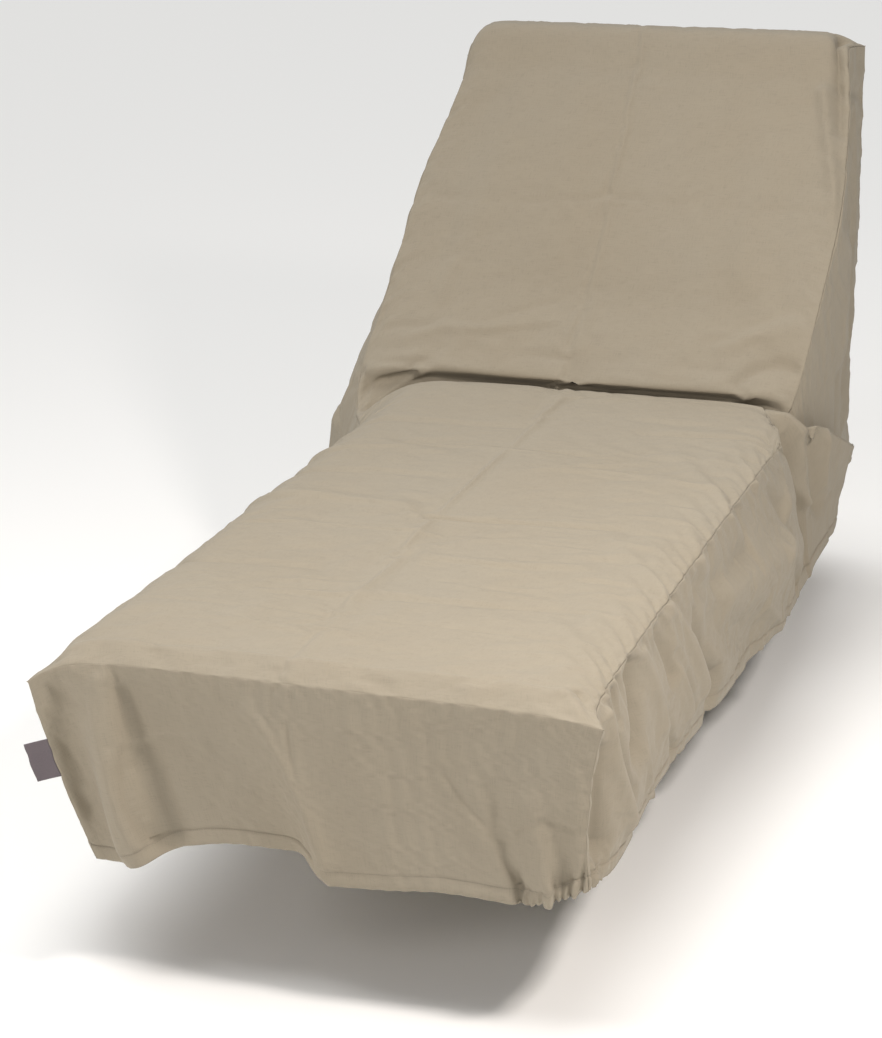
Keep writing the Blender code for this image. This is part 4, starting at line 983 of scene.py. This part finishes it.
def cells_of(corner):
    """The four corners of each cell of a grid of point numbers, in order round the cell."""
    return np.stack([corner[:-1, :-1], corner[:-1, 1:], corner[1:, 1:], corner[1:, :-1]], axis=-1)


def welded_sheet(points, places):
    """One mesh of all coarse panels, with its pin weights. places has their point numbers."""
    mesh = bpy.data.meshes.new("settling")
    faces = np.concatenate([cells_of(corner).reshape(-1, 4) for corner in places.values()])
    mesh.from_pydata(points.tolist(), [], faces.tolist())
    sheet = bpy.data.objects.new("settling", mesh)
    bpy.context.scene.collection.objects.link(sheet)
    held = sheet.vertex_groups.new(name="held")
    for name, corner in places.items():
        held.add(corner.ravel().tolist(), HOLD[name], "REPLACE")
    return sheet, held


def solved(sheet):
    """Places of the sheet's points after the solver's last frame."""
    cloth = sheet.modifiers.new("cloth", "CLOTH")
    for key, value in SOLVER_SETTINGS.items():
        setattr(cloth.settings, key, value)
    cloth.settings.effector_weights.gravity = 0.0
    cloth.collision_settings.use_collision = False
    cloth.point_cache.frame_start, cloth.point_cache.frame_end = 1, SETTLE_FRAMES
    for frame_number in range(1, SETTLE_FRAMES + 1):
        bpy.context.scene.frame_set(frame_number)
    after = np.empty(len(sheet.data.vertices) * 3)
    result = sheet.evaluated_get(bpy.context.evaluated_depsgraph_get()).to_mesh()
    result.vertices.foreach_get("co", after)
    return after.reshape(-1, 3)


def settle(grids_by_name):
    """Panels after the cloth solver has let their surplus buckle."""
    along, across = (picked(grids_by_name["top"], axis, SETTLE_STEP) for axis in (0, 1))
    down = picked(grids_by_name["right"], 1, SETTLE_STEP_DOWN)
    rows = {"top": along, "right": along, "left": along, "foot": across, "back": across}
    columns = {name: across if name == "top" else down for name in rows}
    coarse = {name: grid[np.ix_(rows[name], columns[name])] for name, grid in grids_by_name.items()}
    points = np.concatenate([grid.reshape(-1, 3) for grid in coarse.values()])
    unique, index = np.unique(np.round(points, 6), axis=0, return_inverse=True)
    cuts = np.cumsum([grid[..., 0].size for grid in coarse.values()])[:-1]
    places = {name: part.reshape(coarse[name].shape[:2])
              for name, part in zip(coarse, np.split(index.reshape(-1), cuts))}

    sheet, held = welded_sheet(unique, places)
    held.add(places["top"][top_along[along] > RAISED_FROM].ravel().tolist(), HOLD_RAISED, "REPLACE")
    seams = [edge for corner in places.values() for edge in (corner[0], corner[-1], corner[:, 0])]
    held.add(np.unique(np.concatenate([*seams, places["top"][:, -1]])).tolist(), HOLD_SEAM, "REPLACE")
    moved = solved(sheet) - unique
    bpy.data.objects.remove(sheet)
    bpy.context.scene.frame_set(1)

    length = np.linalg.norm(moved, axis=1, keepdims=True)
    print("settling moved points by", round(float(length.mean()) * 1000, 2), "mm on average and",
          round(float(length.max()) * 1000, 2), "mm at most, of", len(unique))
    moved *= MOST_MOVED / np.maximum(length, MOST_MOVED)
    return {name: grid + spread_back(moved[places[name]], rows[name], columns[name], grid.shape)
            for name, grid in grids_by_name.items()}


panels = settle(panels)

# %% [markdown]
# The sharp creases of the foot panel and the gathers at the elastic are finer than the mesh
# that the solver saw, so they come now. The foot panel first gets more columns, on smooth
# curves through its own.

# %% Creased foot and gathered corner
FINER_TIMES = 3
FOOT_CREASES = {
    "edge of valley":       (-.272, .430, -.267, .380, -.250, .300, .004, .006, -.0036, -.0036, 1.2),
    "ridge of valley":      (-.284, .426, -.281, .380, -.266, .310, .007, .008, .0020, .0030, 1.4),
    "lower edge":           (-.264, .322, -.251, .250, -.224, .198, .0042, .006, -.0045, -.0085, 1.2),
    "over lower edge":      (-.280, .318, -.266, .250, -.242, .198, .007, .008, .0030, .0050, 1.5),
    "arc":                  (-.252, .330, -.205, .348, -.160, .338, .005, .006, .0024, .0014, 1.3),
    "corner crease":        (-.372, .322, -.350, .304, -.330, .262, .006, .008, -.0025, -.0035, 1.4),
    "low corner crease":    (-.366, .270, -.346, .252, -.322, .224, .006, .008, -.0020, -.0030, 1.4),
    "hollow at the corner": (-.368, .396, -.346, .380, -.316, .376, .008, .010, -.0030, -.0020, 1.7),
    "faint fold":           (.176, .342, .214, .296, .250, .256, .006, .008, -.0018, -.0026, 1.4),
    "over the gathers":     (.262, .270, .300, .292, .340, .286, .006, .008, -.0026, -.0030, 1.5),
}


def finer(grid, times):
    """Grid whose cells along its first axis are each cut into several."""
    known = np.arange(len(grid), dtype=float)
    return smooth(known, grid, np.arange((len(grid) - 1) * times + 1) / times)


panels["foot"] = finer(panels["foot"], FINER_TIMES)
foot, right = panels["foot"], panels["right"]
creased = relief(foot[..., 0], foot[..., 2], FOOT_CREASES) * seam_fade(foot, free_hem=True)
fine_height = {
    "foot": gathers(FOOT_GATHERS, GATHERED["foot"], distances(foot, 0)[1], distances(foot, 1)[1]) + creased,
    "right": gathers(SIDE_GATHERS, GATHERED["side"], distances(right, 0)[0], distances(right, 1)[1]),
}
for name, height in fine_height.items():
    panels[name] = panels[name] + outward(panels[name], name in TURNED) * height[..., None]
print("foot panel now has", len(panels["foot"]), "columns and", len(FOOT_CREASES), "sharp creases")

# %% [markdown]
# The cloth is a plain-woven polyester: taupe, matt with a slight sheen, its threads a little
# uneven. A pattern that follows the cloth needs the cloth's own places, so each panel has a UV
# map in metres, across the panel and along it, and an attribute that holds the distances to its
# nearest seam and to its hem. A picture of cloth could be wrapped on instead, but a few waves
# and noises at the right scale stay sharp from any distance.

# %% Node helpers
SOFT_END = 0.3


def tree_of(material):
    """Node tree of a material and its shader."""
    material.use_nodes = True
    return material.node_tree, material.node_tree.nodes["Principled BSDF"]


def add(tree, kind, settings=(), **inputs):
    """New node of a kind. settings are its own values, inputs its sockets' values or links."""
    node = tree.nodes.new("ShaderNode" + kind)
    for key, value in dict(settings).items():
        setattr(node, key, value)
    for key, value in inputs.items():
        socket = node.inputs[int(key[1:]) if key[0] == "i" and key[1:].isdigit() else key.replace("_", " ")]
        if isinstance(value, bpy.types.NodeSocket):
            tree.links.new(value, socket)
        else:
            socket.default_value = value
    return node


def sums(tree, operation, *values):
    """Result of one arithmetic node."""
    return add(tree, "Math", {"operation": operation},
               **{f"i{i}": value for i, value in enumerate(values)}).outputs[0]


def streaks(tree, uv, along_u, along_v, detail=2.0):
    """Noise stretched by different scales along the two thread directions, from 0 to 1."""
    scaled = add(tree, "Mapping", Vector=uv, Scale=(along_u, along_v, 1.0))
    return add(tree, "TexNoise", Vector=scaled.outputs[0], Scale=1.0, Detail=detail).outputs["Fac"]


def around(tree, value, low, high):
    """Value from 0 to 1 turned into one between low and high."""
    return add(tree, "MapRange", Value=value, To_Min=low, To_Max=high).outputs[0]


def rising(tree, away, reach):
    """Value that rises from 0 at a line to 1 at a distance of about reach, with a soft end."""
    return sums(tree, "SMOOTH_MIN", 1.0, sums(tree, "DIVIDE", away, reach), SOFT_END)


def total(tree, values):
    """Sum of a list of values."""
    result = values[0]
    for value in values[1:]:
        result = sums(tree, "ADD", result, value)
    return result


print("node helpers ready")

# %% [markdown]
# Seen close, a plain weave is a board of small bumps: a wave across times a wave along. Slubs,
# which are thicker lengths of thread, run both ways, and the dye is a little uneven over the
# whole cloth. The stitched lines come from the attribute: a thin dark line where two panels
# meet, which is painted shade of the stitched groove with a little darker thread, and a row of
# lock stitches above the hem. Fine gathering beside the seams and a slight crumple all over are
# too small for the grids, so they are bumps as well.

# %% Woven polyester
THREAD = 0.0012                  # from one thread to the next
WAVE_BANDS = 2 * np.pi / 20      # a wave texture's period at scale 1
STITCH, STITCH_HALF, STITCH_SHOWS = 0.0032, 0.0005, 0.75     # length, half width, share not sunk in
# on the line along a seam the colour falls to the middle share: painted shade of the stitched groove, with
# a little darker thread
STITCH_DARK, SEAM_PAINTED_SHADE, SEAM_LINE = 0.20, 0.60, 0.0011
GATHERING_REACH, GATHERING_LEAN = 0.050, np.radians(-24.0)   # fine gathering beside the seams
TONES = {"slubs": 0.22, "weave": 0.10, "dye": 0.03, "patches": 0.04}
BUMPS = {"weave": 0.00030, "slubs": 0.00010, "crumple": 0.0011, "stitches": 0.00025,
         "gathering": 0.0022}    # heights in metres
WARM, COOL = (1.015, 0.995, 0.965), (0.985, 1.005, 1.035)    # how far the dye strays both ways


def woven_cloth(name, colour):
    """Material of the panels.

    The colour is multiplied by 1 plus each part's value between minus and plus its tone, and
    the bump is the sum of each part's value times its height.
    """
    cloth = bpy.data.materials.new(name)
    tree, shader = tree_of(cloth)
    uv = add(tree, "UVMap", {"uv_map": "cloth"}).outputs[0]
    edges = add(tree, "Attribute", {"attribute_name": "edges"}).outputs["Vector"]
    seam_away, hem_away, hem_along = add(tree, "SeparateXYZ", Vector=edges).outputs[:3]

    waves = [add(tree, "TexWave", {"bands_direction": axis}, Vector=uv, Scale=WAVE_BANDS / THREAD / 2,
                 Distortion=0.6, Detail=1.0, Detail_Scale=0.02).outputs["Fac"] for axis in "XY"]
    off_row = sums(tree, "ABSOLUTE", sums(tree, "SUBTRACT", hem_away, HEM_STITCH))
    way_on_stitch = sums(tree, "FRACT", sums(tree, "DIVIDE", hem_along, STITCH))
    leaning = add(tree, "Mapping", Vector=uv, Rotation=(0.0, 0.0, GATHERING_LEAN)).outputs[0]
    part = {
        "weave": sums(tree, "MULTIPLY", *(sums(tree, "SUBTRACT", wave, 0.5) for wave in waves)),
        "slubs": sums(tree, "ADD", streaks(tree, uv, 45.0, 800.0), streaks(tree, uv, 800.0, 60.0)),
        "dye": streaks(tree, uv, 5.0, 4.0, 4.0),
        "patches": streaks(tree, uv, 22.0, 30.0, 3.0),
        "crumple": streaks(tree, uv, 30.0, 42.0, 4.0),
        "stitches": sums(tree, "MULTIPLY", sums(tree, "LESS_THAN", off_row, STITCH_HALF),
                         sums(tree, "LESS_THAN", way_on_stitch, STITCH_SHOWS)),
        "gathering": sums(tree, "MULTIPLY", streaks(tree, leaning, 22.0, 90.0, 3.0),
                          around(tree, rising(tree, seam_away, GATHERING_REACH), 1.0, 0.0)),
    }

    tone = total(tree, [around(tree, part[name], -size, size) for name, size in TONES.items()] + [1.0])
    # painted shade: the colour darkens on a thin line along each seam for the shade of its stitched groove,
    # and the thread is a little darker too
    painted_seam_shade = around(tree, rising(tree, seam_away, SEAM_LINE), SEAM_PAINTED_SHADE, 1.0)
    tone = sums(tree, "SUBTRACT", sums(tree, "MULTIPLY", tone, painted_seam_shade),
                sums(tree, "MULTIPLY", part["stitches"], STITCH_DARK))
    hue = add(tree, "Mix", {"data_type": "RGBA"}, Factor=part["dye"])
    for socket, stray in ((6, WARM), (7, COOL)):         # the two colour inputs of a Mix node
        hue.inputs[socket].default_value = (*(value * scale for value, scale in zip(colour, stray)), 1.0)
    shade = add(tree, "VectorMath", {"operation": "SCALE"}, i0=hue.outputs[2], Scale=tone)
    tree.links.new(shade.outputs[0], shader.inputs["Base Color"])

    rough = sums(tree, "ADD", around(tree, part["slubs"], 0.70, 0.86),
                 around(tree, part["patches"], -0.05, 0.05))
    tree.links.new(rough, shader.inputs["Roughness"])
    shader.inputs["Specular IOR Level"].default_value = 0.35
    shader.inputs["Sheen Weight"].default_value = 0.08
    shader.inputs["Sheen Roughness"].default_value = 0.60
    shader.inputs["Sheen Tint"].default_value = (1.0, 0.98, 0.96, 1.0)

    height = total(tree, [sums(tree, "MULTIPLY", part[name], size) for name, size in BUMPS.items()])
    bump = add(tree, "Bump", Height=height, Distance=1.0, Strength=0.8)
    tree.links.new(bump.outputs[0], shader.inputs["Normal"])
    return cloth


taupe_cloth = woven_cloth("taupe_woven_polyester", (0.262, 0.228, 0.172))
print("cloth: threads", THREAD * 1000, "mm apart, stitches", STITCH * 1000, "mm long")

# %% [markdown]
# The ribbon is denser and smoother than the cloth, with fine ribs across it that catch the light,
# and it has picked up a little lint. The ribs are raised as bumps and are also painted into the
# colour as lighter and darker stripes, a painted highlight and shade.

# %% Satin ribbon
RIB = 0.0007


def satin_ribbon(name, colour):
    """Material of the tab: ribs across the ribbon, raised and painted in as highlight and shade, a soft
    satin gloss, and lint.
    """
    satin = bpy.data.materials.new(name)
    tree, shader = tree_of(satin)
    uv = add(tree, "UVMap", {"uv_map": "cloth"}).outputs[0]
    ribs = add(tree, "TexWave", {"bands_direction": "Y"}, Vector=uv, Scale=WAVE_BANDS / RIB,
               Distortion=0.4, Detail=1.0).outputs["Fac"]
    lint = streaks(tree, uv, 300.0, 900.0)
    # painted highlight and shade: the ribs make the colour lighter and darker in stripes, while the lint is
    # its own colour
    tone = sums(tree, "ADD", around(tree, ribs, 0.90, 1.10), around(tree, lint, -0.22, 0.22))
    shade = add(tree, "VectorMath", {"operation": "SCALE"}, i0=colour, Scale=tone)
    tree.links.new(shade.outputs[0], shader.inputs["Base Color"])
    tree.links.new(around(tree, lint, 0.45, 0.65), shader.inputs["Roughness"])
    shader.inputs["Sheen Weight"].default_value = 0.15
    height = sums(tree, "MULTIPLY", sums(tree, "ADD", ribs, lint), 0.00006)
    tree.links.new(add(tree, "Bump", Height=height, Distance=1.0, Strength=0.8).outputs[0],
                   shader.inputs["Normal"])
    return satin


ribbon = satin_ribbon("plum_grey_ribbon", (0.115, 0.092, 0.102))
print("ribbon: ribs", RIB * 1000, "mm apart")

# %% [markdown]
# Now each grid becomes a mesh. foreach_set takes whole arrays, so no loop runs over the points.
# The UV map holds metres along the cloth: a row's average distance along the panel, and each
# point's own distance from the panel's first edge. Solidify gives the cloth its thickness
# inwards, and the faces are turned where a grid runs the other way, so that they all point out
# of the cover.

# %% Meshes
CLOTH_THICKNESS = 0.0008
NO_EDGE = 1.0                    # stands for a seam or hem that isn't near


def grid_mesh(name, grid, turned, edges):
    """Mesh object of a grid of points, with one four-sided face for each cell.

    Its UV map "cloth" holds each point's distance along its row and the row's average distance
    from the first row, in metres. Its attribute "edges" holds the distances to the nearest
    seam, to the hem and along the hem.
    """
    rows, columns = grid.shape[:2]
    faces = cells_of(np.arange(rows * columns).reshape(rows, columns))
    faces = (faces[..., ::-1] if turned else faces).reshape(-1)
    mesh = bpy.data.meshes.new(name)
    mesh.vertices.add(rows * columns)
    mesh.vertices.foreach_set("co", (grid - ORIGIN).astype(np.float32).ravel())
    mesh.loops.add(len(faces))
    mesh.loops.foreach_set("vertex_index", faces.astype(np.int32))
    mesh.polygons.add(len(faces) // 4)
    mesh.polygons.foreach_set("loop_start", np.arange(0, len(faces), 4, dtype=np.int32))
    mesh.update(calc_edges=True)
    along = distances(grid, 0)[0].mean(axis=1)[:, None]
    down = distances(grid, 1)[0]
    uv = np.stack(np.broadcast_arrays(down, along), axis=-1).reshape(-1, 2)
    mesh.uv_layers.new(name="cloth").data.foreach_set("uv", uv[faces].astype(np.float32).ravel())
    attribute = mesh.attributes.new("edges", "FLOAT_VECTOR", "POINT")
    attribute.data.foreach_set("vector", edges.astype(np.float32).ravel())
    mesh.shade_smooth()
    piece = bpy.data.objects.new(name, mesh)
    bpy.context.scene.collection.objects.link(piece)
    return piece


def edge_distances(grid, seams, hem):
    """Distances of each point to the nearest of its seams, to the hem, and along the hem."""
    far = {edge: distances(grid, axis)[-place] for edge, (axis, place) in EDGES.items()}
    nearest = np.minimum.reduce([far[edge] + faint for edge, faint in seams.items()])
    to_hem = far["right"] if hem else np.full(nearest.shape, NO_EDGE)
    along_hem = np.broadcast_to(distances(grid[:, -1:], 0)[0], nearest.shape)
    return np.stack([nearest, to_hem, along_hem], axis=-1)


def cloth_piece(name, grid, node, material, turned=False, seams=(), hem=False,
                thickness=CLOTH_THICKNESS):
    """Panel of cloth with its thickness inwards, in place of its CAD node."""
    edges = edge_distances(grid, seams, hem) if seams else np.full(grid.shape, NO_EDGE)
    piece = grid_mesh(name, grid, turned, edges)
    piece.data.materials.append(material)
    wall = piece.modifiers.new("thickness", "SOLIDIFY")
    wall.thickness = thickness
    wall.offset = -1.0
    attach(piece, "root")
    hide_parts(node)
    return piece


# the painted seam shade is fainter on these seams, as if the seam were this far off
CLEAR, FINE, FAINT = 0.0, 0.0006, 0.0010    # a seam's line is fainter, as if from this far off
PANEL_COLUMNS = ("node", "seams")
SIDE_SEAMS = {"first": FINE, "last": FINE, "left": CLEAR}
PANELS = {
    "top":   ("top_panel", {"first": FAINT, "last": FINE, "left": CLEAR, "right": CLEAR}),
    "right": ("side_panel_right", SIDE_SEAMS),
    "left":  ("side_panel_left", SIDE_SEAMS),
    "foot":  ("foot_panel", {"first": FINE, "last": FINE, "left": FAINT}),
    "back":  ("back_panel", {"first": FINE, "last": FINE, "left": FINE}),
}
for name, row in PANELS.items():
    cloth_piece("cloth_" + name, panels[name], material=taupe_cloth,
                               turned=name in TURNED, hem=name != "top", **dict(zip(PANEL_COLUMNS, row)))

# %% [markdown]
# The tab is a short length of satin ribbon, folded in two and caught in the left corner seam.
# It is plain. It stands square out of the seam and its free end bends away a little.

# %% Ribbon tab
LABEL_TOP, LABEL_DROP = 0.323, 0.051     # its upper edge above the ground, and its length down
LABEL_REACH, LABEL_CLEAR, LABEL_BEND = 0.036, 0.0003, 0.003
LABEL_CELLS = (24, 18)           # down and out
LABEL_THICKNESS = 0.0009         # of both layers


def label_grid(corner):
    """Grid [down, out] of the tab: rows start on the seam and reach out by LABEL_REACH.

    The free end bends away by LABEL_BEND * (reach / LABEL_REACH)^2.
    """
    heights = LABEL_TOP - np.linspace(0, LABEL_DROP, LABEL_CELLS[0] + 1)
    on_seam = np.stack([np.interp(-heights, -corner[:, 2], corner[:, k]) for k in range(3)], axis=1)
    downwards = unit(on_seam[-1] - on_seam[0])
    out = unit(np.cross((0.0, 1.0, 0.0), downwards))
    reach = np.linspace(0, LABEL_REACH, LABEL_CELLS[1] + 1)[None, :, None]
    bend = LABEL_BEND * (reach / LABEL_REACH) ** 2 * np.array((0.0, -1.0, 0.0))
    return on_seam[:, None] + out * (LABEL_CLEAR + reach) + bend


tab = cloth_piece("ribbon_tab", label_grid(panels["left"][0]), "label_tab", ribbon,
                  thickness=LABEL_THICKNESS)
tab.modifiers["thickness"].offset = 0.0
print("tab:", len(tab.data.polygons), "faces")
